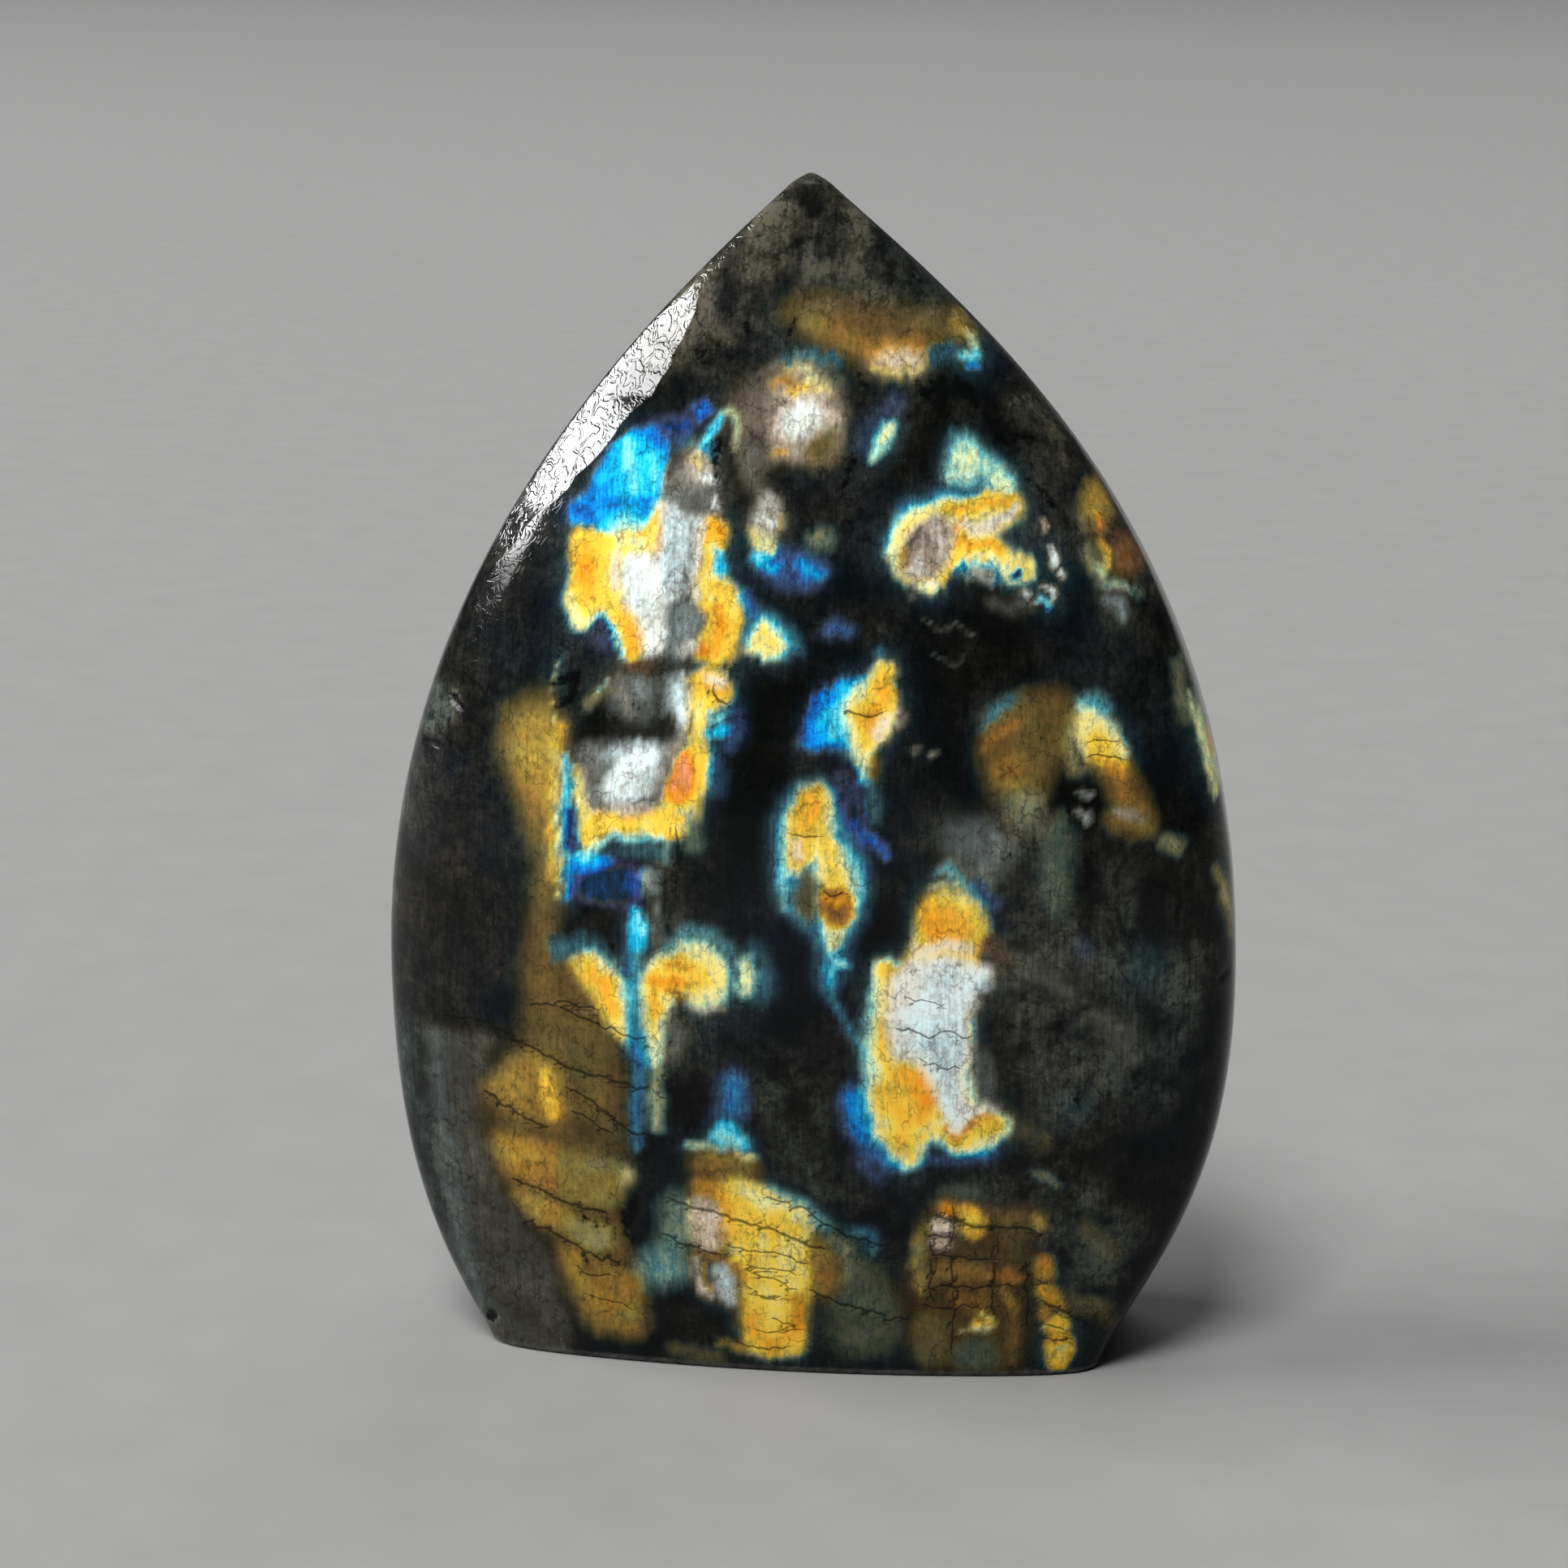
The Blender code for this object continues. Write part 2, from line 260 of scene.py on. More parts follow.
BLUE_CORNER = [
    (0.235, 0.82, 1.1, [(-14.4, 79.6), (-13.2, 80.3), (-12.2, 79.9), (-11.2, 78.8), (-11.0, 77.4),
                        (-11.3, 76.2), (-11.1, 74.8), (-12.2, 74.2), (-12.6, 72.6), (-13.6, 71.7),
                        (-15.4, 71.0), (-16.6, 71.8), (-17.4, 72.8), (-18.8, 72.1), (-19.6, 72.5),
                        (-19.7, 73.8), (-18.4, 74.7), (-17.2, 75.8), (-16.2, 77.6)]),
    (0.27, 0.90, 1.2, [(-16.4, 75.6, 0.3), (-15.8, 76.8, 0.5), (-15.2, 78.2, 0.4)]),
    (0.285, 1.00, 1.3, [(-13.6, 79.5), (-12.4, 78.7), (-11.6, 77.6), (-11.6, 75.4), (-11.9, 74.4),
                        (-13.4, 74.4), (-14.6, 74.1), (-15.6, 74.6), (-15.2, 76.4), (-14.9, 78.8)]),
    (0.345, 1.00, 1.2, [(-14.6, 79.0, 0.3), (-14.4, 77.4, 0.5), (-14.1, 76.0, 0.35), (-13.8, 74.8, 0.2)]),
    (0.33, 0.95, 0.8, [(-12.4, 77.6, 0.25), (-12.3, 76.0, 0.3)]),
    (0.17, 0.65, 0.8, [(-12.6, 79.5, 0.2), (-11.8, 78.6, 0.3)]),
    (0.31, 0.95, 1.2, [(-16.0, 73.2), (-13.4, 73.6), (-12.7, 72.6), (-13.8, 71.8), (-15.6, 71.3),
                       (-16.5, 72.2)]),
    (0.38, 1.00, 0.9, [(-15.4, 72.0, 0.3), (-13.4, 72.4, 0.35)]),
    (0.17, 0.85, 1.0, [(-19.0, 73.3, 0.45), (-17.6, 73.1, 0.45)]),
    (None, 0.30, 0.5, [(-16.0, 73.9, 0.08), (-13.4, 73.8, 0.06)]),
    (0.17, 0.90, 1.0, [(-8.7, 81.3, 0.5), (-8.2, 81.7, 0.4)]),
    (0.12, 0.75, 1.6, [(-11.4, 80.3, 0.5), (-9.8, 80.3, 0.5)]),
    (0.24, 0.22, 1.4, [(-10.2, 79.2, 0.4), (-9.2, 78.6, 0.5)]),
    (0.90, 0.22, 1.6, [(-11.4, 75.6), (-10.0, 77.2), (-9.0, 78.4), (-7.2, 78.2), (-6.6, 76.4), (-6.7, 73.4),
                       (-8.4, 73.0), (-11.0, 73.9)]),
    (0.86, 0.50, 1.0, [(-9.4, 77.0), (-8.8, 78.0), (-7.6, 78.0), (-7.0, 76.8), (-7.4, 75.6), (-9.0, 75.4)]),
    (0.47, 0.65, 0.9, [(-8.9, 77.6, 0.25), (-8.3, 76.9, 0.3)]),
    (0.92, 0.16, 1.0, [(-9.2, 74.2, 0.5), (-7.8, 74.4, 0.6)]),
    (0.93, 0.90, 0.9, [(-8.0, 76.4, 0.3), (-7.3, 75.9, 0.35)]),
    (0.91, 0.70, 0.6, [(-6.9, 74.6, 0.15), (-6.9, 73.6, 0.2)]),
    (0.42, 0.50, 0.8, [(-6.8, 81.4, 0.2), (-5.9, 81.3, 0.3), (-5.4, 80.2, 0.3), (-5.5, 78.6, 0.2)]),
    (0.27, 0.35, 0.9, [(-7.7, 78.6, 0.5), (-7.2, 77.6, 0.3)]),
    (0.32, 1.00, 0.8, [(-6.9, 81.2, 0.2), (-7.6, 80.1, 0.3), (-8.5, 78.2, 0.15)]),
]
LEFT_PATCH = [
    (0.55, 0.95, 1.3, [(-18.9, 71.6), (-17.4, 71.8), (-15.6, 71.4), (-13.6, 71.9), (-12.7, 72.4),
                       (-12.2, 73.9), (-11.4, 73.7), (-11.3, 70.6), (-12.2, 69.0), (-12.6, 66.0),
                       (-12.7, 62.0), (-14.0, 61.6), (-15.0, 63.0), (-15.6, 64.6), (-16.2, 65.4),
                       (-16.9, 65.1), (-17.5, 63.8), (-18.3, 63.8), (-19.1, 65.2), (-19.3, 66.8),
                       (-18.9, 68.4), (-19.0, 70.0)]),
    (0.55, 0.95, 1.2, [(-8.2, 72.5), (-7.4, 73.0), (-6.0, 72.9), (-6.0, 71.4), (-7.2, 70.6), (-7.2, 69.0),
                       (-6.0, 68.6), (-4.9, 67.8), (-4.5, 66.4), (-4.6, 65.0), (-5.2, 63.2), (-5.4, 62.0),
                       (-6.4, 61.6), (-7.9, 61.7), (-8.4, 63.0), (-7.6, 64.4), (-7.3, 65.2), (-8.2, 66.2),
                       (-8.8, 68.0), (-8.9, 70.4)]),
    (0.91, 0.95, 1.3, [(-12.3, 74.2), (-11.0, 74.0), (-9.6, 73.4), (-7.8, 73.0), (-8.2, 72.4), (-8.8, 71.0),
                       (-8.8, 68.0), (-9.4, 66.8), (-10.6, 66.4), (-10.8, 64.8), (-10.4, 63.4),
                       (-11.0, 62.2), (-12.8, 62.1), (-13.0, 64.6), (-14.2, 66.0), (-14.4, 68.6),
                       (-14.2, 70.0), (-12.8, 70.2), (-11.6, 70.4), (-11.5, 72.6)]),
    (0.94, 0.95, 1.2, [(-14.5, 69.6), (-13.0, 70.0), (-12.2, 69.6), (-11.8, 67.4), (-12.0, 65.2),
                       (-13.4, 65.2), (-14.3, 66.4)]),
    (0.99, 0.62, 1.5, [(-11.4, 74.0), (-10.2, 73.8), (-9.4, 73.2), (-9.3, 70.6), (-9.4, 68.0),
                       (-10.6, 66.8), (-11.4, 67.6), (-11.2, 70.4)]),
    (0.97, 0.30, 1.1, [(-9.2, 73.0, 0.3), (-9.1, 70.0, 0.3), (-9.3, 67.6, 0.35)]),
    (0.99, 0.26, 1.4, [(-9.6, 67.0), (-8.8, 66.6), (-7.7, 65.2), (-8.1, 64.2), (-9.2, 63.6), (-9.4, 62.0),
                       (-10.4, 61.8), (-10.6, 63.4), (-10.0, 64.6), (-10.4, 66.0)]),
    (0.90, 0.80, 1.1, [(-9.3, 62.6, 0.3), (-8.5, 63.3, 0.45)]),
    (0.44, 0.95, 1.2, [(-15.0, 70.9, 0.5), (-13.0, 71.0, 0.6)]),
    (0.50, 0.90, 0.8, [(-12.1, 73.2, 0.25), (-12.1, 71.6, 0.4)]),
    (0.70, 0.70, 0.5, [(-11.5, 72.2, 0.06), (-11.4, 70.6, 0.08)]),
    (0.64, 1.00, 1.4, [(-17.7, 70.6, 0.4), (-17.6, 68.2, 0.8), (-17.0, 67.2, 0.5)]),
    (0.69, 1.00, 1.0, [(-18.0, 69.0, 0.2), (-17.8, 67.6, 0.4)]),
    (0.53, 1.00, 1.1, [(-16.2, 69.4, 0.5), (-16.2, 66.6, 0.6)]),
    (0.86, 0.85, 1.0, [(-15.1, 70.0, 0.25), (-15.1, 67.4, 0.3)]),
    (0.45, 0.95, 0.8, [(-18.9, 66.6, 0.25), (-18.3, 64.6, 0.4), (-17.5, 64.4, 0.3)]),
    (0.58, 0.95, 0.9, [(-14.4, 64.4, 0.5), (-13.5, 62.9, 0.6)]),
    (0.46, 0.90, 0.6, [(-15.3, 64.4, 0.2), (-14.4, 62.6, 0.2)]),
    (0.30, 0.85, 0.6, [(-16.9, 64.8, 0.12), (-16.1, 65.1, 0.15), (-15.3, 64.0, 0.15), (-14.5, 62.2, 0.12)]),
    (0.10, 0.35, 0.9, [(-16.5, 64.2, 0.25), (-16.2, 63.0, 0.7)]),
    (0.89, 0.95, 0.7, [(-7.9, 72.6, 0.1), (-8.5, 71.0, 0.25), (-8.6, 68.6, 0.25), (-8.3, 66.8, 0.2)]),
    (None, 0.40, 0.4, [(-8.2, 70.2, 0.06), (-8.1, 67.6, 0.1)]),
    (0.47, 0.95, 0.8, [(-7.7, 70.8, 0.3), (-7.6, 68.0, 0.4), (-7.2, 66.8, 0.3)]),
    (0.64, 1.00, 0.9, [(-7.4, 72.6, 0.2), (-6.5, 72.3, 0.3)]),
    (0.29, 1.00, 0.9, [(-6.9, 70.8, 0.3), (-6.5, 69.2, 0.5)]),
    (0.37, 0.90, 0.6, [(-7.3, 70.6, 0.1), (-6.9, 68.6, 0.15), (-5.8, 68.1, 0.1)]),
    (0.66, 1.00, 1.1, [(-6.4, 66.2, 0.3), (-6.2, 64.4, 0.4), (-6.6, 63.0, 0.3)]),
    (0.74, 0.90, 0.9, [(-7.8, 63.2, 0.15), (-7.6, 62.4, 0.35)]),
    (0.52, 0.95, 0.9, [(-5.3, 66.6, 0.3), (-5.3, 65.2, 0.3)]),
    (None, 0.40, 0.35, [(-6.3, 65.8, 0.08), (-6.3, 65.0, 0.12)]),
    (None, 0.25, 0.35, [(-6.5, 63.4, 0.04), (-6.5, 61.8, 0.05)]),
    (None, 0.45, 0.35, [(-14.9, 74.6, 0.05), (-14.8, 70.0, 0.05), (-14.5, 67.4, 0.09),
                        (-14.3, 64.8, 0.06)]),
    (None, 0.25, 0.4, [(-12.4, 65.2, 0.06), (-11.5, 65.0, 0.1)]),
    (None, 0.35, 0.4, [(-12.9, 64.8, 0.05), (-12.8, 62.4, 0.07)]),
    (None, 0.50, 0.3, [(-17.1, 70.8, 0.03), (-17.0, 66.2, 0.03)]),
    (0.22, 0.45, 1.2, [(-4.7, 67.4, 0.4), (-3.8, 66.0, 0.4)]),
]
YELLOW_POINT = [
    (0.28, 0.40, 1.6, [(-4.8, 62.6), (-3.4, 66.2), (-1.8, 65.6), (0.0, 63.8), (0.6, 63.0), (-1.2, 62.4)]),
    (0.36, 0.85, 1.3, [(-4.0, 62.6), (-3.4, 65.4), (-2.2, 65.4), (-0.4, 63.6), (-1.4, 62.4)]),
    (0.50, 1.00, 1.3, [(-4.2, 62.6), (-4.2, 62.6), (-3.2, 65.4), (-3.0, 65.4), (-0.8, 63.3), (-0.8, 63.2),
                       (-2.2, 62.4)]),
    (0.19, 0.40, 1.5, [(2.4, 64.4, 0.4), (3.0, 64.8, 0.5), (3.9, 64.5, 0.4)]),
]
SECOND_PATCH = [
    (0.51, 1.00, 1.2, [(-9.0, 61.0), (-6.6, 61.2), (-5.5, 60.2), (-5.4, 58.6), (-6.4, 57.9), (-7.2, 57.9),
                       (-7.4, 55.4), (-7.0, 54.4), (-7.0, 52.4), (-7.9, 50.8), (-8.2, 48.6), (-9.8, 47.6),
                       (-12.0, 47.9), (-14.8, 48.2), (-16.0, 47.4), (-16.4, 46.2), (-17.2, 45.8),
                       (-17.8, 47.0), (-17.6, 49.2), (-18.2, 52.8), (-17.6, 52.8), (-16.8, 50.0),
                       (-15.4, 49.4), (-12.0, 49.4), (-10.8, 50.4), (-9.8, 54.0), (-8.8, 55.4),
                       (-8.8, 57.8)]),
    (0.57, 0.90, 1.3, [(-8.2, 60.8), (-6.6, 60.9), (-5.7, 60.0), (-5.9, 58.6), (-7.0, 58.9), (-8.0, 59.4)]),
    (0.86, 0.95, 0.9, [(-7.4, 60.6, 0.2), (-6.2, 60.1, 0.35)]),
    (0.47, 1.00, 0.9, [(-8.0, 58.4, 0.2), (-8.0, 56.6, 0.2), (-7.9, 54.4, 0.2)]),
    (None, 0.40, 0.35, [(-8.2, 60.2, 0.06), (-7.2, 59.5, 0.1), (-6.2, 58.4, 0.06)]),
    (0.34, 0.60, 1.0, [(-6.8, 57.4, 0.2), (-6.1, 57.2, 0.3), (-5.4, 57.6, 0.15)]),
    (0.39, 1.00, 0.7, [(-6.7, 57.4, 0.15), (-6.1, 57.0, 0.15)]),
    (0.28, 1.00, 0.9, [(-7.2, 55.9, 0.2), (-6.4, 56.0, 0.4), (-5.6, 56.2, 0.4)]),
    (0.20, 0.30, 1.4, [(-5.4, 55.0, 0.3), (-4.8, 56.6, 0.3), (-5.0, 58.4, 0.2)]),
    (0.34, 0.60, 0.7, [(-7.0, 53.6, 0.12), (-6.9, 51.8, 0.12)]),
    (0.24, 0.25, 1.3, [(-6.6, 54.6, 0.2), (-6.4, 51.6, 0.4)]),
    (0.40, 0.20, 1.6, [(-8.6, 49.6, 0.4), (-8.2, 47.2, 0.6)]),
    (0.92, 0.20, 1.4, [(-18.0, 54.6), (-15.8, 55.2), (-11.0, 55.4), (-9.2, 55.4), (-10.4, 53.0),
                       (-11.6, 50.8), (-15.0, 49.6), (-17.0, 49.6), (-17.6, 52.0)]),
    (0.955, 1.00, 1.5, [(-15.6, 50.4), (-15.7, 52.2), (-14.4, 54.2), (-12.4, 55.3), (-10.9, 55.0),
                        (-11.2, 53.4), (-11.8, 51.4), (-12.6, 50.7), (-13.8, 50.4)]),
    (0.99, 0.50, 1.2, [(-15.6, 54.0, 0.3), (-14.2, 55.0, 0.3), (-12.0, 55.3, 0.2)]),
    (None, 0.55, 0.6, [(-14.4, 51.4, 0.05), (-12.9, 52.4, 0.1), (-11.8, 53.6, 0.05)]),
    (0.84, 0.62, 1.0, [(-15.4, 50.2), (-13.4, 50.3), (-11.4, 50.4), (-11.8, 49.4), (-13.4, 49.3),
                       (-15.6, 49.4)]),
    (0.85, 0.50, 0.8, [(-11.3, 50.8, 0.2), (-11.0, 52.4, 0.25), (-10.3, 54.2, 0.2), (-9.4, 55.6, 0.15)]),
    (0.79, 0.95, 0.9, [(-10.7, 50.6), (-10.4, 52.2), (-9.5, 54.4), (-8.8, 54.8), (-8.4, 53.8), (-8.3, 52.0),
                       (-8.7, 50.6)]),
    (0.66, 1.00, 0.9, [(-10.4, 50.9, 0.2), (-9.4, 51.4, 0.3), (-8.9, 50.8, 0.2)]),
    (0.57, 0.95, 0.8, [(-10.2, 49.8, 0.2), (-9.3, 49.2, 0.3)]),
    (0.60, 0.95, 0.9, [(-17.2, 47.0, 0.2), (-16.8, 48.4, 0.2), (-15.6, 49.2, 0.15), (-13.2, 49.1, 0.12),
                       (-11.4, 49.5, 0.12)]),
    (0.44, 0.95, 0.7, [(-15.4, 48.0, 0.12), (-13.0, 47.9, 0.15), (-11.0, 47.8, 0.15)]),
    (0.36, 0.90, 0.8, [(-16.0, 46.9, 0.1), (-15.0, 47.5, 0.15), (-13.0, 47.3, 0.25), (-10.8, 47.5, 0.15)]),
    (0.44, 0.90, 0.6, [(-18.2, 53.0, 0.08), (-17.9, 51.0, 0.15), (-17.6, 49.4, 0.2)]),
    (None, 0.08, 0.5, [(-13.8, 50.5, 0.06), (-11.9, 50.5, 0.1), (-11.0, 50.3, 0.05)]),
    (None, 0.20, 0.5, [(-11.3, 50.8, 0.06), (-10.4, 53.4, 0.08)]),
    (None, 0.40, 0.4, [(-12.1, 52.6, 0.06), (-11.8, 51.2, 0.1)]),
    (0.98, 0.95, 1.2, [(-9.9, 60.8), (-8.9, 61.0), (-8.8, 58.0), (-8.9, 56.2), (-9.4, 56.0), (-9.9, 58.4)]),
    (0.99, 0.45, 1.2, [(-10.3, 60.2, 0.3), (-10.2, 58.0, 0.3)]),
    (None, 0.15, 0.35, [(-8.6, 60.6, 0.08), (-8.6, 57.6, 0.1), (-8.5, 55.2, 0.08)]),
    (0.97, 0.12, 1.8, [(-15.6, 57.2), (-15.6, 60.2), (-13.0, 60.9), (-11.4, 60.4), (-11.0, 57.6),
                       (-12.4, 56.8)]),
    (0.89, 0.26, 1.0, [(-14.6, 60.2, 0.3), (-14.4, 58.8, 0.5), (-13.6, 57.6, 0.3)]),
    (0.99, 0.30, 1.0, [(-13.2, 59.8, 0.3), (-12.7, 59.2, 0.4)]),
    (0.45, 0.28, 1.2, [(-17.3, 58.0, 0.3), (-16.6, 58.8, 0.4), (-15.9, 59.4, 0.2)]),
    (0.38, 0.60, 0.5, [(-16.4, 59.2, 0.12), (-15.9, 59.9, 0.1)]),
    (0.76, 0.16, 1.0, [(-13.6, 61.2, 0.2), (-12.2, 61.2, 0.25)]),
]
OLIVE_BAND = [
    (0.53, 0.24, 2.6, [(-24.4, 56.6), (-22.2, 58.6), (-20.4, 58.0), (-19.2, 55.8), (-19.6, 52.0),
                       (-20.2, 48.0), (-20.0, 42.0), (-20.4, 38.0), (-21.6, 38.0), (-21.4, 44.0),
                       (-22.4, 49.0), (-24.2, 52.0), (-24.8, 54.4)]),
    (0.53, 0.36, 2.0, [(-23.6, 56.0), (-22.0, 57.2), (-20.4, 56.6), (-19.4, 55.6), (-19.8, 52.6),
                       (-20.4, 49.4), (-21.4, 49.2), (-23.6, 52.4)]),
    (0.49, 0.62, 1.4, [(-19.6, 56.0, 0.25), (-19.8, 53.6, 0.35), (-20.2, 50.4, 0.3)]),
    (0.57, 0.75, 0.8, [(-20.4, 49.4, 0.1), (-20.3, 46.6, 0.2), (-20.3, 43.6, 0.15)]),
    (0.44, 0.95, 0.8, [(-19.8, 51.4, 0.1), (-19.7, 47.0, 0.2), (-19.6, 44.0, 0.15), (-19.7, 42.0, 0.05)]),
    (0.31, 0.90, 0.9, [(-19.0, 53.4, 0.15), (-18.8, 51.0, 0.35), (-19.0, 48.4, 0.1), (-19.1, 45.6, 0.1)]),
    (0.06, 0.65, 0.8, [(-18.6, 49.0, 0.2), (-18.6, 46.4, 0.3)]),
    (0.47, 0.60, 0.4, [(-20.1, 61.2, 0.06), (-20.4, 58.8, 0.08), (-20.2, 56.0, 0.08)]),
]
BLUE_FOOT = [
    (0.33, 0.15, 1.4, [(-14.6, 46.4), (-12.0, 47.2), (-10.4, 47.4), (-10.4, 45.4), (-13.8, 45.6)]),
    (0.37, 0.45, 0.7, [(-10.4, 47.4, 0.1), (-10.5, 46.2, 0.12), (-10.5, 45.4, 0.05)]),
    (0.07, 0.75, 1.6, [(-18.6, 43.4), (-16.0, 44.8), (-13.4, 45.0), (-12.6, 43.4), (-13.6, 42.0),
                       (-15.2, 42.2), (-17.2, 42.0)]),
    (0.21, 0.95, 0.9, [(-18.9, 42.0, 0.1), (-18.8, 44.4, 0.25), (-17.0, 44.7, 0.3), (-15.2, 45.4, 0.2)]),
    (0.25, 1.00, 0.9, [(-18.4, 45.2, 0.35), (-16.6, 45.3, 0.35), (-15.6, 45.7, 0.2)]),
    (0.36, 1.00, 0.9, [(-18.0, 45.6, 0.2), (-17.2, 45.6, 0.45), (-16.4, 46.4, 0.3), (-15.8, 46.8, 0.1)]),
    (0.19, 0.65, 1.2, [(-13.6, 44.2, 0.3), (-13.1, 42.8, 0.35), (-12.4, 44.4, 0.3)]),
    (0.99, 0.45, 1.0, [(-12.2, 44.2, 0.3), (-11.6, 43.0, 0.25), (-11.4, 44.6, 0.2)]),
    (0.97, 0.25, 0.6, [(-11.6, 42.2, 0.2), (-11.3, 40.6, 0.15), (-11.2, 38.6, 0.15)]),
    (0.24, 0.46, 1.3, [(-13.3, 39.0, 0.3), (-13.6, 36.0, 0.4), (-13.6, 33.0, 0.4), (-13.2, 29.4, 0.5)]),
    (0.34, 0.50, 1.0, [(-13.1, 38.6, 0.3), (-13.2, 36.6, 0.3), (-13.3, 34.0, 0.3), (-13.4, 32.6, 0.2)]),
    (0.26, 0.44, 1.2, [(-13.2, 30.4, 0.4), (-12.9, 28.4, 0.5), (-13.2, 25.0, 0.4), (-13.3, 21.0, 0.3)]),
    (0.29, 1.00, 1.0, [(-13.4, 41.4, 0.3), (-13.0, 40.2, 0.8), (-13.0, 38.6, 0.6)]),
    (0.37, 1.00, 0.9, [(-13.0, 41.0, 0.2), (-12.6, 39.8, 0.35)]),
]
BROWN_FIELD_AND_SHEEN = [
    # The first two layers are painted sheen rather than flashes: a faint pale haze over the grey field on the
    # lower left and a brighter streak near its left edge, a painted reflection of the floor.
    (0.86, 0.060, 2.0, [(-31.8, 29.4), (-31.8, 29.4), (-25.6, 29.2), (-25.6, 29.2), (-26.8, 25.0),
                        (-26.0, 20.5), (-25.0, 16.0), (-23.0, 12.6), (-20.6, 10.0), (-19.8, 4.0),
                        (-19.8, 0.0), (-27.6, 0.0), (-29.2, 6.0), (-30.6, 14.0), (-31.8, 24.0)]),
    (0.98, 0.110, 1.8, [(-31.0, 28.4, 0.3), (-30.4, 18.0, 0.4), (-28.8, 8.0, 0.4), (-27.6, 3.0, 0.3)]),
    (0.56, 0.17, 2.6, [(-22.0, 41.0), (-20.4, 40.4), (-20.0, 38.0), (-18.4, 35.6), (-16.6, 32.6),
                       (-14.9, 30.0), (-14.5, 25.0), (-14.6, 21.0), (-16.0, 20.6), (-20.0, 21.4),
                       (-24.6, 23.0), (-25.4, 26.0), (-23.6, 28.4), (-22.6, 30.6), (-22.4, 36.0)]),
    (0.54, 0.10, 2.2, [(-26.6, 23.6), (-22.0, 23.0), (-14.6, 22.4), (-14.4, 18.8), (-20.0, 20.0),
                       (-25.6, 20.8)]),
    (0.57, 0.16, 2.0, [(-26.4, 23.0), (-20.0, 22.4), (-14.6, 19.4), (-15.4, 14.0), (-13.6, 9.0),
                       (-18.8, 9.4), (-21.4, 12.4), (-24.8, 16.4)]),
    (0.57, 0.36, 2.2, [(-26.9, 25.0), (-25.1, 26.6), (-23.2, 28.1), (-21.8, 28.8), (-20.5, 28.0),
                       (-19.3, 26.1), (-19.0, 23.2), (-19.6, 22.0), (-21.3, 22.2), (-24.0, 22.8),
                       (-25.6, 23.6)]),
    (0.56, 0.95, 1.2, [(-21.2, 26.8, 0.3), (-20.9, 25.4, 0.7), (-20.6, 23.6, 0.65), (-20.3, 22.8, 0.3)]),
    (0.58, 0.38, 2.2, [(-26.0, 21.0), (-22.4, 20.7), (-19.6, 19.9), (-19.2, 17.6), (-19.6, 15.4),
                       (-22.4, 16.3), (-24.2, 16.8), (-25.3, 18.7)]),
    (0.50, 0.30, 1.7, [(-20.0, 19.8), (-16.9, 19.1), (-14.4, 19.2), (-13.6, 18.2), (-14.4, 16.5),
                       (-15.4, 15.0), (-18.3, 15.0), (-20.0, 15.6)]),
    (0.45, 0.46, 1.2, [(-14.2, 18.2, 0.4), (-14.6, 17.4, 0.3)]),
    (0.56, 0.38, 2.2, [(-24.4, 15.8), (-21.6, 15.4), (-19.2, 14.6), (-18.8, 12.8), (-20.4, 12.4),
                       (-22.8, 13.6)]),
    (0.47, 0.34, 1.4, [(-20.2, 14.0), (-18.0, 13.6), (-15.8, 13.2), (-15.8, 10.8), (-17.4, 10.6),
                       (-19.4, 12.0)]),
    (0.57, 0.30, 2.0, [(-20.4, 11.4), (-17.4, 9.8), (-14.6, 9.2), (-13.0, 8.6), (-12.8, 4.6), (-13.4, 2.4),
                       (-17.4, 2.6), (-19.4, 5.6), (-20.2, 8.6)]),
    (0.56, 0.46, 1.6, [(-19.4, 9.6, 0.5), (-18.2, 7.2, 0.7), (-16.4, 5.6, 0.5)]),
    (0.47, 0.34, 1.2, [(-13.4, 9.8, 0.3), (-13.2, 7.6, 0.3)]),
]
LEFT_HOOK = [
    (0.30, 0.22, 1.8, [(-19.6, 37.8, 0.6), (-17.6, 38.4, 0.6), (-16.0, 37.8, 0.3)]),
    (0.37, 0.85, 1.2, [(-17.2, 37.8, 0.1), (-15.2, 36.8, 0.25), (-14.1, 34.6, 0.25), (-13.9, 32.0, 0.2),
                       (-13.9, 30.2, 0.1)]),
    (0.51, 1.00, 1.4, [(-18.8, 37.0), (-17.0, 37.6), (-15.2, 36.4), (-14.3, 34.2), (-14.1, 30.6),
                       (-14.8, 30.6), (-16.0, 32.4), (-17.4, 34.6)]),
    (0.61, 1.00, 1.2, [(-17.0, 36.0, 0.35), (-16.0, 35.0, 0.45), (-15.3, 33.4, 0.35), (-15.0, 32.4, 0.15)]),
    (0.45, 0.95, 0.8, [(-16.4, 37.0, 0.15), (-15.0, 35.8, 0.2), (-14.5, 33.6, 0.15)]),
]
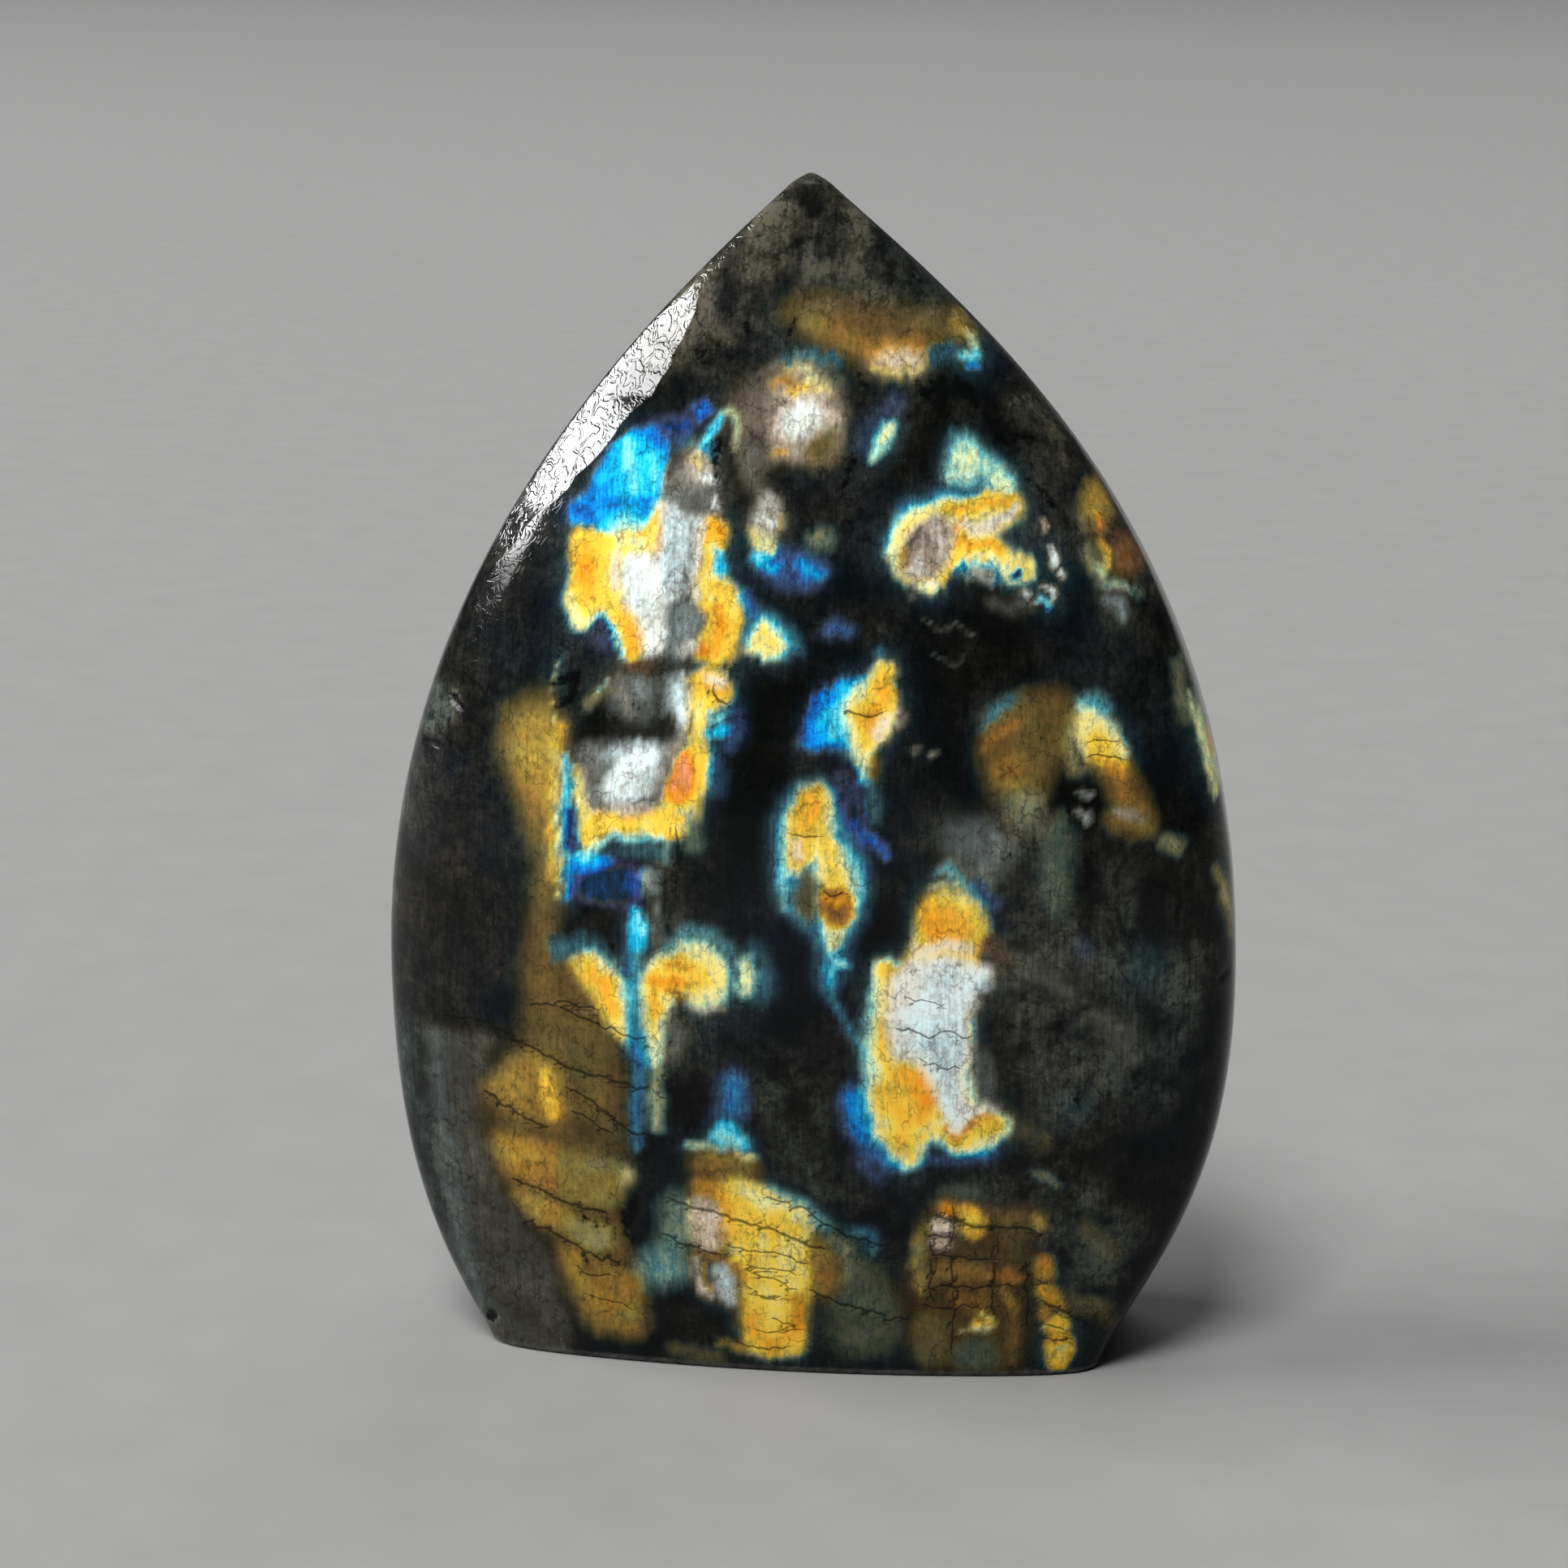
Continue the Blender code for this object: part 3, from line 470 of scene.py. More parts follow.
COMMA = [
    (0.28, 0.20, 2.2, [(-3.0, 38.4, 0.6), (-2.4, 36.4, 0.7), (-2.4, 34.6, 0.5)]),
    (0.34, 0.35, 1.6, [(-10.4, 38.6, 0.2), (-8.6, 40.0, 0.4), (-6.4, 39.6, 0.3), (-5.2, 38.4, 0.3)]),
    (0.40, 0.75, 1.3, [(-12.6, 37.0), (-10.2, 38.2), (-8.6, 39.2), (-7.0, 38.9), (-5.6, 37.6), (-5.0, 36.0),
                       (-5.4, 34.0), (-7.0, 32.9), (-8.6, 33.4), (-9.4, 35.0), (-10.4, 34.0), (-10.9, 31.0),
                       (-11.0, 28.4), (-12.2, 28.0), (-12.7, 31.0), (-12.9, 34.4)]),
    (0.50, 1.00, 1.3, [(-12.6, 36.6), (-10.4, 37.7), (-8.6, 38.4), (-6.8, 38.1), (-5.5, 36.6), (-5.6, 34.8),
                       (-7.0, 33.5), (-8.4, 34.0), (-8.8, 35.4), (-10.4, 34.8), (-11.0, 32.4),
                       (-11.4, 30.4), (-12.2, 30.8), (-12.6, 33.6)]),
    (0.46, 1.00, 1.2, [(-7.6, 37.6, 0.5), (-6.6, 36.2, 0.8), (-7.0, 34.8, 0.6)]),
    (0.51, 1.00, 0.8, [(-7.6, 36.8, 0.3), (-7.0, 35.6, 0.4)]),
    (0.43, 0.80, 1.2, [(-4.3, 38.0), (-3.4, 38.0), (-2.9, 36.0), (-3.5, 34.4), (-4.6, 34.6), (-4.4, 36.4)]),
    (0.61, 1.00, 1.1, [(-10.6, 36.9, 0.3), (-9.4, 37.2, 0.35), (-8.6, 36.8, 0.2)]),
    (0.67, 0.80, 1.0, [(-12.0, 35.8, 0.25), (-11.4, 35.2, 0.35), (-10.0, 35.8, 0.3), (-9.0, 35.6, 0.15)]),
    (0.66, 0.85, 1.0, [(-11.7, 34.4, 0.3), (-11.6, 32.8, 0.25)]),
    (0.62, 0.30, 1.0, [(-10.4, 35.0, 0.25), (-9.4, 34.6, 0.3)]),
    (0.46, 0.90, 0.9, [(-11.8, 31.2, 0.15), (-11.5, 29.6, 0.3), (-11.8, 28.4, 0.25)]),
    (0.42, 0.50, 1.3, [(-11.6, 27.4, 0.4), (-11.6, 25.4, 0.5), (-11.5, 22.6, 0.4)]),
    (0.90, 0.18, 1.4, [(-10.4, 32.6, 0.3), (-9.6, 31.0, 0.5), (-9.8, 29.4, 0.3)]),
    (0.90, 0.50, 0.6, [(-8.2, 33.4, 0.1), (-7.0, 33.0, 0.15), (-5.8, 33.3, 0.1)]),
    (None, 0.15, 0.4, [(-8.7, 35.5, 0.12), (-8.3, 35.4, 0.1)]),
]
SAIL = [
    (0.23, 0.95, 1.3, [(0.6, 55.6), (0.6, 55.6), (0.8, 57.8), (2.2, 59.7), (4.0, 60.6), (5.8, 61.0),
                       (5.4, 57.6), (4.4, 55.3), (2.4, 55.3)]),
    (0.16, 0.85, 1.0, [(1.6, 59.2, 0.2), (0.9, 57.6, 0.3), (0.9, 56.0, 0.3)]),
    (0.29, 1.00, 1.1, [(2.0, 57.4, 0.3), (2.8, 58.4, 0.4), (3.0, 56.6, 0.4)]),
    (0.335, 1.00, 1.0, [(4.0, 60.2, 0.2), (3.4, 58.2, 0.4), (3.3, 56.2, 0.4)]),
    (0.39, 1.00, 1.0, [(5.0, 60.6, 0.2), (4.1, 58.8, 0.3), (4.1, 56.8, 0.25), (4.9, 54.6, 0.2)]),
    (0.46, 1.00, 1.1, [(4.0, 58.4), (4.8, 60.2), (5.8, 61.2), (6.4, 62.0), (7.4, 62.0), (7.8, 61.4),
                       (7.4, 60.4), (8.0, 59.8), (7.9, 58.2), (7.6, 56.4), (6.6, 55.4), (6.2, 54.0),
                       (5.6, 53.4), (5.0, 54.4), (4.5, 56.2), (4.1, 57.4)]),
    (0.54, 1.00, 1.2, [(5.0, 58.6), (5.8, 60.4), (6.6, 61.8), (7.4, 61.8), (7.6, 61.2), (7.2, 60.4),
                       (7.9, 59.7), (7.7, 58.0), (7.4, 56.6), (6.4, 55.6), (5.8, 54.8), (5.2, 56.4)]),
    (0.61, 0.95, 1.0, [(6.9, 59.8, 0.2), (7.4, 59.6, 0.3), (6.7, 58.4, 0.5), (6.2, 57.0, 0.3)]),
    (0.82, 0.95, 0.9, [(7.3, 57.8, 0.25), (6.9, 56.8, 0.4), (6.9, 56.2, 0.3)]),
    (0.39, 0.95, 0.6, [(5.2, 53.8, 0.25), (5.6, 53.0, 0.25)]),
    (0.31, 0.95, 0.6, [(5.3, 52.8, 0.15), (5.7, 52.4, 0.15)]),
    (None, 0.35, 0.35, [(7.7, 61.0, 0.05), (7.1, 60.2, 0.12), (6.6, 59.6, 0.05)]),
    (None, 0.45, 0.35, [(3.8, 58.8, 0.05), (4.8, 58.0, 0.08), (6.0, 57.9, 0.08), (7.2, 58.6, 0.04)]),
    (0.31, 0.40, 0.8, [(6.6, 62.7, 0.3)]),
    (0.86, 0.30, 0.5, [(8.2, 58.6, 0.2), (8.6, 57.9, 0.25), (8.2, 57.0, 0.2)]),
    (0.62, 0.25, 0.7, [(6.5, 54.4, 0.1), (6.4, 52.8, 0.15)]),
    (0.08, 0.60, 1.8, [(4.0, 52.6, 0.5), (5.0, 49.6, 0.6)]),
    (0.34, 0.20, 1.2, [(6.0, 52.2, 0.3), (6.3, 50.8, 0.4), (6.6, 49.4, 0.2)]),
    (0.17, 0.62, 1.0, [(5.0, 49.0, 0.4), (5.8, 48.1, 0.4), (7.1, 47.2, 0.35), (7.5, 46.6, 0.2)]),
    (0.88, 0.34, 0.35, [(9.8, 55.4, 0.15), (9.9, 54.8, 0.15)]),
    (0.88, 0.34, 0.35, [(11.1, 55.1, 0.25)]),
]
LENS = [
    (0.27, 0.30, 1.8, [(-1.6, 50.0), (0.2, 52.4), (2.8, 52.8), (4.2, 49.6), (5.8, 46.6), (6.0, 43.0),
                       (4.9, 39.4), (3.8, 35.0), (2.2, 35.2), (2.0, 39.6), (-0.4, 41.0), (-1.8, 43.8)]),
    (0.38, 0.85, 0.9, [(-0.6, 50.4, 0.1), (-1.1, 48.4, 0.15), (-1.1, 46.4, 0.2), (-1.0, 44.4, 0.25),
                       (-0.8, 42.6, 0.25), (-0.7, 41.8, 0.1)]),
    (0.39, 0.60, 1.0, [(2.6, 51.6, 0.15), (3.0, 50.0, 0.2), (3.4, 48.6, 0.2)]),
    (0.38, 0.85, 1.0, [(4.0, 47.4, 0.2), (4.9, 45.8, 0.3), (5.3, 44.0, 0.3), (5.1, 42.8, 0.25)]),
    (0.55, 0.80, 1.3, [(-0.7, 50.2), (0.2, 51.4), (1.2, 52.3), (2.2, 52.3), (2.7, 50.9), (2.4, 49.0),
                       (1.9, 47.4), (1.3, 46.2), (0.6, 45.4), (-0.4, 44.9), (-0.7, 45.6), (-0.8, 47.6)]),
    (0.60, 0.90, 1.0, [(1.4, 51.0, 0.4), (1.2, 49.6, 0.4), (0.4, 48.8, 0.2)]),
    (0.82, 0.62, 0.9, [(-0.1, 47.6, 0.2), (0.2, 46.4, 0.25)]),
    (0.45, 0.90, 0.6, [(2.0, 52.2, 0.1), (2.6, 51.0, 0.15), (2.9, 49.6, 0.12), (3.2, 48.4, 0.1)]),
    (0.50, 1.00, 1.2, [(1.6, 49.2), (2.6, 49.2), (3.2, 48.0), (4.0, 46.6), (4.6, 45.0), (4.9, 43.6),
                       (4.8, 42.2), (4.3, 40.6), (3.9, 39.2), (3.2, 38.4), (2.7, 38.8), (2.5, 40.4),
                       (2.2, 42.2), (1.9, 44.0), (1.6, 46.0), (1.5, 47.8)]),
    (0.535, 1.00, 1.0, [(2.0, 48.2, 0.2), (2.6, 46.6, 0.45), (3.0, 45.2, 0.5), (3.0, 44.5, 0.3)]),
    (0.44, 1.00, 0.7, [(3.4, 47.6, 0.12), (4.0, 46.2, 0.25), (4.4, 44.8, 0.25), (4.5, 43.6, 0.15)]),
    (0.66, 0.42, 0.8, [(2.2, 43.9), (4.6, 43.8), (4.8, 42.4), (4.4, 40.8), (3.4, 40.6), (2.5, 41.4),
                       (2.2, 42.6)]),
    (0.61, 0.85, 0.7, [(2.7, 43.0, 0.2), (3.8, 42.8, 0.3)]),
    (0.79, 0.60, 0.6, [(4.4, 42.6, 0.15), (4.7, 41.6, 0.15)]),
    (0.69, 0.22, 0.7, [(3.0, 41.8, 0.2), (3.9, 41.6, 0.3)]),
    (None, 0.12, 0.3, [(2.0, 44.0, 0.03), (4.8, 43.8, 0.06)]),
    (None, 0.15, 0.3, [(2.4, 42.2, 0.03), (4.4, 42.1, 0.06)]),
    (None, 0.35, 0.4, [(2.4, 50.4, 0.06), (2.9, 48.6, 0.1)]),
    (None, 0.45, 0.35, [(-1.0, 48.6, 0.04), (1.0, 48.5, 0.06), (2.6, 48.8, 0.04)]),
    (0.43, 0.90, 0.8, [(3.0, 40.0, 0.3), (3.1, 38.9, 0.25)]),
    (0.37, 0.80, 0.8, [(3.2, 38.2, 0.3), (4.0, 37.4, 0.35)]),
    (0.31, 0.80, 0.8, [(3.0, 37.0, 0.3), (3.0, 35.4, 0.15)]),
    (0.46, 0.12, 1.3, [(0.2, 44.6), (0.9, 45.8), (1.9, 44.0), (2.0, 41.0), (0.8, 41.0), (-0.2, 42.4)]),
    (0.28, 0.36, 0.9, [(2.8, 35.4, 0.2), (3.6, 33.8, 0.25), (4.6, 31.9, 0.3), (5.8, 30.2, 0.25)]),
]
MAIN_PATCH = [
    (0.35, 0.50, 1.2, [(11.6, 45.2, 0.1), (12.4, 45.6, 0.3), (13.4, 44.6, 0.2), (15.0, 43.0, 0.2)]),
    (0.22, 0.34, 1.5, [(14.8, 44.0, 0.3), (16.0, 42.8, 0.3)]),
    (0.22, 0.50, 1.5, [(3.8, 27.4), (5.4, 27.2), (5.8, 25.6), (6.0, 23.6), (7.0, 22.0), (8.4, 20.6),
                       (9.0, 19.9), (8.0, 19.7), (6.0, 20.7), (4.6, 22.4), (3.9, 24.6)]),
    (0.24, 0.75, 1.4, [(4.6, 26.2, 0.3), (5.0, 24.4, 0.4), (6.0, 22.8, 0.3)]),
    (0.20, 0.35, 1.4, [(10.6, 20.6, 0.2), (13.4, 20.6, 0.3), (16.6, 21.2, 0.3)]),
    (0.18, 0.28, 1.3, [(5.6, 20.4, 0.3), (7.0, 19.0, 0.4)]),
    (0.37, 0.95, 1.2, [(6.8, 37.6), (7.8, 38.2), (8.6, 37.6), (14.4, 37.0), (14.6, 24.8), (17.2, 25.2),
                       (18.1, 23.4), (16.6, 21.8), (15.2, 21.0), (13.4, 20.9), (12.2, 21.9), (11.5, 22.5),
                       (10.8, 21.6), (10.2, 20.4), (9.3, 19.7), (8.4, 20.3), (7.4, 21.6), (6.3, 23.0),
                       (5.8, 25.6), (5.9, 28.6), (5.8, 31.0), (6.2, 33.4)]),
    (0.52, 1.00, 1.3, [(10.6, 43.6), (12.6, 44.0), (14.2, 43.3), (15.5, 41.8), (15.6, 40.0), (15.2, 38.4),
                       (14.6, 36.0), (13.0, 30.0), (13.0, 25.0), (16.8, 25.2), (17.8, 23.4), (16.4, 22.2),
                       (15.2, 21.6), (13.6, 21.4), (12.4, 22.4), (11.6, 23.0), (10.8, 22.2), (10.0, 20.8),
                       (9.3, 20.2), (8.6, 20.9), (7.6, 22.0), (6.7, 23.6), (6.4, 25.6), (6.5, 28.6),
                       (6.5, 31.0), (6.8, 33.6), (6.9, 37.6), (7.5, 38.0), (8.1, 36.9), (9.2, 38.6),
                       (9.9, 40.0), (10.0, 42.2)]),
    (0.60, 0.95, 1.6, [(10.4, 42.8), (12.0, 43.2), (13.8, 42.2), (14.6, 40.6), (14.2, 39.2), (11.4, 39.0),
                       (10.2, 40.0)]),
    (0.64, 1.00, 1.1, [(10.6, 42.6, 0.25), (10.7, 41.0, 0.4), (11.6, 40.4, 0.3)]),
    (0.84, 0.95, 1.2, [(9.8, 38.8, 0.3), (12.4, 39.2, 0.35), (14.4, 39.0, 0.3)]),
    (0.44, 0.60, 0.7, [(11.0, 44.2, 0.12), (12.6, 44.4, 0.15), (13.6, 43.8, 0.12)]),
    (None, 0.40, 0.5, [(10.8, 43.6, 0.06), (12.2, 43.9, 0.08)]),
    (0.72, 0.12, 1.4, [(15.8, 39.4, 0.4), (16.8, 38.4, 0.5)]),
    (0.54, 1.00, 1.2, [(7.6, 28.6, 0.3), (7.6, 26.4, 0.4), (8.4, 23.6, 0.5), (9.2, 22.2, 0.3)]),
    (0.59, 1.00, 1.6, [(7.6, 29.6, 0.1), (8.4, 27.6, 0.5), (8.4, 25.6, 0.6), (9.6, 23.6, 0.5)]),
    (0.66, 1.00, 1.6, [(8.6, 28.4, 0.2), (9.8, 27.4, 0.6), (10.4, 25.8, 0.7), (10.6, 24.2, 0.4)]),
    (0.70, 1.00, 0.9, [(9.0, 28.6, 0.12), (10.2, 28.2, 0.25), (10.9, 27.2, 0.25), (11.2, 25.8, 0.2)]),
    (0.45, 1.00, 0.7, [(6.9, 36.8, 0.25), (7.1, 34.6, 0.25), (6.9, 32.0, 0.15), (6.8, 29.0, 0.12)]),
    (0.60, 0.50, 0.6, [(8.0, 37.4, 0.15), (7.9, 34.8, 0.2), (7.8, 34.4, 0.3)]),
    (0.62, 0.80, 0.5, [(7.5, 33.0, 0.05), (7.5, 30.0, 0.12)]),
    (0.90, 1.00, 1.4, [(8.1, 36.6), (9.2, 38.2), (12.4, 38.4), (15.0, 37.8), (16.3, 37.2), (16.0, 36.0),
                       (14.8, 35.4), (15.2, 34.6), (14.2, 34.0), (14.0, 33.0), (14.3, 31.8), (14.4, 29.6),
                       (14.0, 28.4), (14.0, 26.8), (14.5, 25.4), (16.6, 25.8), (16.4, 25.0), (14.6, 24.6),
                       (13.8, 23.2), (13.2, 22.8), (12.4, 24.2), (11.8, 26.2), (11.0, 28.2), (9.6, 29.2),
                       (8.1, 29.7), (7.7, 32.0), (7.7, 34.4)]),
    (0.97, 1.00, 1.6, [(10.6, 37.4), (14.4, 37.2), (15.8, 36.6), (14.4, 35.6), (14.4, 34.6), (13.6, 33.4),
                       (14.0, 31.4), (13.8, 27.4), (13.2, 24.2), (12.6, 24.6), (11.9, 27.0), (11.0, 29.4),
                       (9.4, 31.2), (8.8, 33.4), (10.2, 34.6)]),
    (0.995, 0.82, 1.6, [(11.2, 33.6), (13.6, 33.2), (13.9, 31.0), (13.6, 28.6), (12.4, 28.0), (11.6, 29.6),
                        (10.6, 31.4)]),
    (0.99, 0.55, 0.8, [(14.6, 35.9, 0.2), (15.8, 36.0, 0.35)]),
    (0.88, 1.00, 0.7, [(8.6, 36.6, 0.25), (10.6, 36.0, 0.3), (9.4, 34.9, 0.2)]),
    (0.57, 0.85, 0.8, [(14.8, 23.9, 0.2), (15.8, 24.2, 0.3), (16.6, 24.2, 0.15)]),
    (0.52, 1.00, 0.8, [(14.2, 22.4, 0.2), (15.2, 23.0, 0.35), (16.4, 23.3, 0.3)]),
    (0.45, 0.90, 0.8, [(15.2, 22.0, 0.15), (16.6, 22.7, 0.25), (17.4, 23.3, 0.2)]),
    (0.64, 0.55, 0.6, [(11.6, 26.2, 0.1), (12.0, 24.8, 0.15), (12.7, 23.5, 0.2), (13.5, 22.5, 0.3),
                       (14.1, 23.6, 0.2), (15.0, 24.6, 0.12), (16.4, 24.8, 0.08)]),
    (None, 0.45, 0.35, [(14.6, 37.0, 0.04), (14.7, 35.4, 0.06)]),
]
BROWN_PATCH = [
    (0.55, 0.17, 2.2, [(15.0, 54.6), (15.0, 57.2), (16.4, 59.0), (18.4, 59.8), (21.6, 59.8), (22.6, 58.0),
                       (22.0, 55.0), (20.4, 53.4), (19.8, 50.0), (18.0, 49.0), (16.6, 50.4),
                       (15.4, 52.6)]),
    (0.33, 0.30, 1.6, [(15.2, 57.0, 0.1), (16.0, 58.4, 0.3), (17.2, 59.3, 0.2)]),
    (0.62, 0.40, 1.2, [(15.4, 55.4, 0.2), (16.2, 56.5, 0.25), (17.6, 57.4, 0.2)]),
    (0.61, 0.30, 1.4, [(15.8, 54.4), (17.0, 55.2), (18.6, 54.8), (18.4, 53.4), (16.8, 52.8), (15.8, 53.2)]),
    (0.51, 0.32, 1.4, [(16.4, 52.6, 0.2), (17.6, 52.4, 0.4), (18.4, 52.6, 0.2)]),
    (0.46, 0.22, 2.0, [(17.0, 51.8), (19.4, 51.6), (20.0, 50.2), (19.0, 48.8), (17.4, 49.4), (16.8, 50.6)]),
    (0.45, 0.34, 0.8, [(18.0, 51.4, 0.2), (18.8, 50.4, 0.25)]),
]
YELLOW_FLAME = [
    (0.34, 0.55, 1.5, [(22.9, 59.2, 0.3), (24.0, 59.2, 0.55), (25.0, 58.4, 0.3)]),
    (0.46, 0.30, 1.4, [(22.2, 58.0, 0.3), (22.0, 55.6, 0.4), (22.5, 53.6, 0.4)]),
    (0.60, 0.36, 2.4, [(25.4, 53.6, 0.7), (26.4, 51.8, 1.0), (27.4, 50.2, 0.7)]),
    (0.56, 0.28, 2.0, [(25.2, 50.0), (27.0, 50.8), (28.8, 49.6), (28.8, 48.2), (26.6, 48.2), (25.0, 49.0)]),
    (0.82, 0.40, 0.8, [(26.0, 50.0, 0.2), (27.0, 49.7, 0.35), (27.8, 49.4, 0.2)]),
    (0.47, 0.36, 1.4, [(29.7, 47.6, 0.3), (30.4, 47.2, 0.6), (30.9, 46.8, 0.3)]),
    (0.40, 0.90, 1.0, [(22.7, 58.7, 0.2), (23.8, 58.5, 0.35), (25.0, 57.4, 0.25), (25.9, 56.2, 0.15)]),
    (0.45, 1.00, 1.3, [(22.4, 57.9), (23.6, 58.5), (24.8, 57.8), (25.8, 56.6), (26.4, 55.2), (26.4, 54.2),
                       (24.8, 53.8), (23.4, 54.6), (22.7, 56.0)]),
    (0.52, 1.00, 1.2, [(22.9, 56.4), (25.2, 56.6), (26.2, 55.4), (26.2, 54.4), (24.2, 54.4), (22.9, 55.2)]),
    (0.61, 0.90, 1.1, [(23.8, 54.3, 0.3), (25.2, 54.2, 0.4), (26.2, 53.8, 0.3)]),
    (0.63, 0.55, 1.2, [(24.8, 53.4, 0.3), (26.2, 53.0, 0.4)]),
    (None, 0.25, 0.6, [(23.2, 53.6, 0.1), (24.4, 53.4, 0.2), (25.2, 52.6, 0.1)]),
    (0.95, 0.36, 0.6, [(23.1, 51.8, 0.15), (23.7, 51.3, 0.2)]),
    (0.94, 0.42, 0.6, [(22.9, 50.2, 0.15), (23.5, 49.8, 0.25), (23.7, 49.2, 0.15)]),
]
EDGE_STREAK = [
    (0.43, 0.24, 1.4, [(30.4, 61.0, 0.3), (30.6, 58.4, 0.4), (31.2, 56.8, 0.3)]),
    (0.42, 0.75, 1.1, [(31.4, 58.6, 0.1), (31.9, 57.2, 0.25), (32.7, 55.0, 0.35)]),
    (0.45, 0.98, 1.0, [(32.2, 56.6, 0.15), (33.0, 54.0, 0.4), (33.6, 52.0, 0.5), (33.9, 50.4, 0.2)]),
    (0.60, 0.80, 0.6, [(33.2, 55.6, 0.1), (33.9, 53.2, 0.2)]),
    (0.47, 0.34, 1.2, [(34.2, 44.6, 0.2), (34.9, 42.6, 0.4), (35.3, 40.6, 0.4), (35.4, 38.4, 0.2)]),
    (0.44, 0.55, 0.6, [(34.7, 42.4, 0.1), (35.2, 40.6, 0.15)]),
]
FOOT_CROWN = [
    (0.24, 0.46, 2.4, [(-5.0, 26.8, 0.9), (-5.2, 24.8, 1.0)]),
    (0.31, 0.95, 1.2, [(-7.0, 21.6), (-6.6, 23.1), (-5.4, 23.5), (-4.4, 22.6), (-3.6, 21.4), (-4.4, 21.2),
                       (-5.6, 21.4)]),
    (0.37, 1.00, 0.9, [(-6.2, 22.4, 0.3), (-5.4, 22.0, 0.4), (-4.6, 21.6, 0.2)]),
    (0.41, 0.60, 1.0, [(-8.8, 21.2, 0.35), (-7.0, 21.2, 0.3), (-4.8, 21.1, 0.15)]),
    (0.46, 0.95, 0.9, [(-4.6, 20.8, 0.2), (-3.7, 20.2, 0.35)]),
    (0.57, 0.28, 1.5, [(-8.4, 20.4), (-5.0, 20.6), (-3.2, 19.6), (-3.0, 18.4), (-6.0, 18.4), (-8.6, 18.6)]),
    (0.55, 0.36, 0.9, [(-7.4, 20.3, 0.3), (-5.4, 20.2, 0.3)]),
]
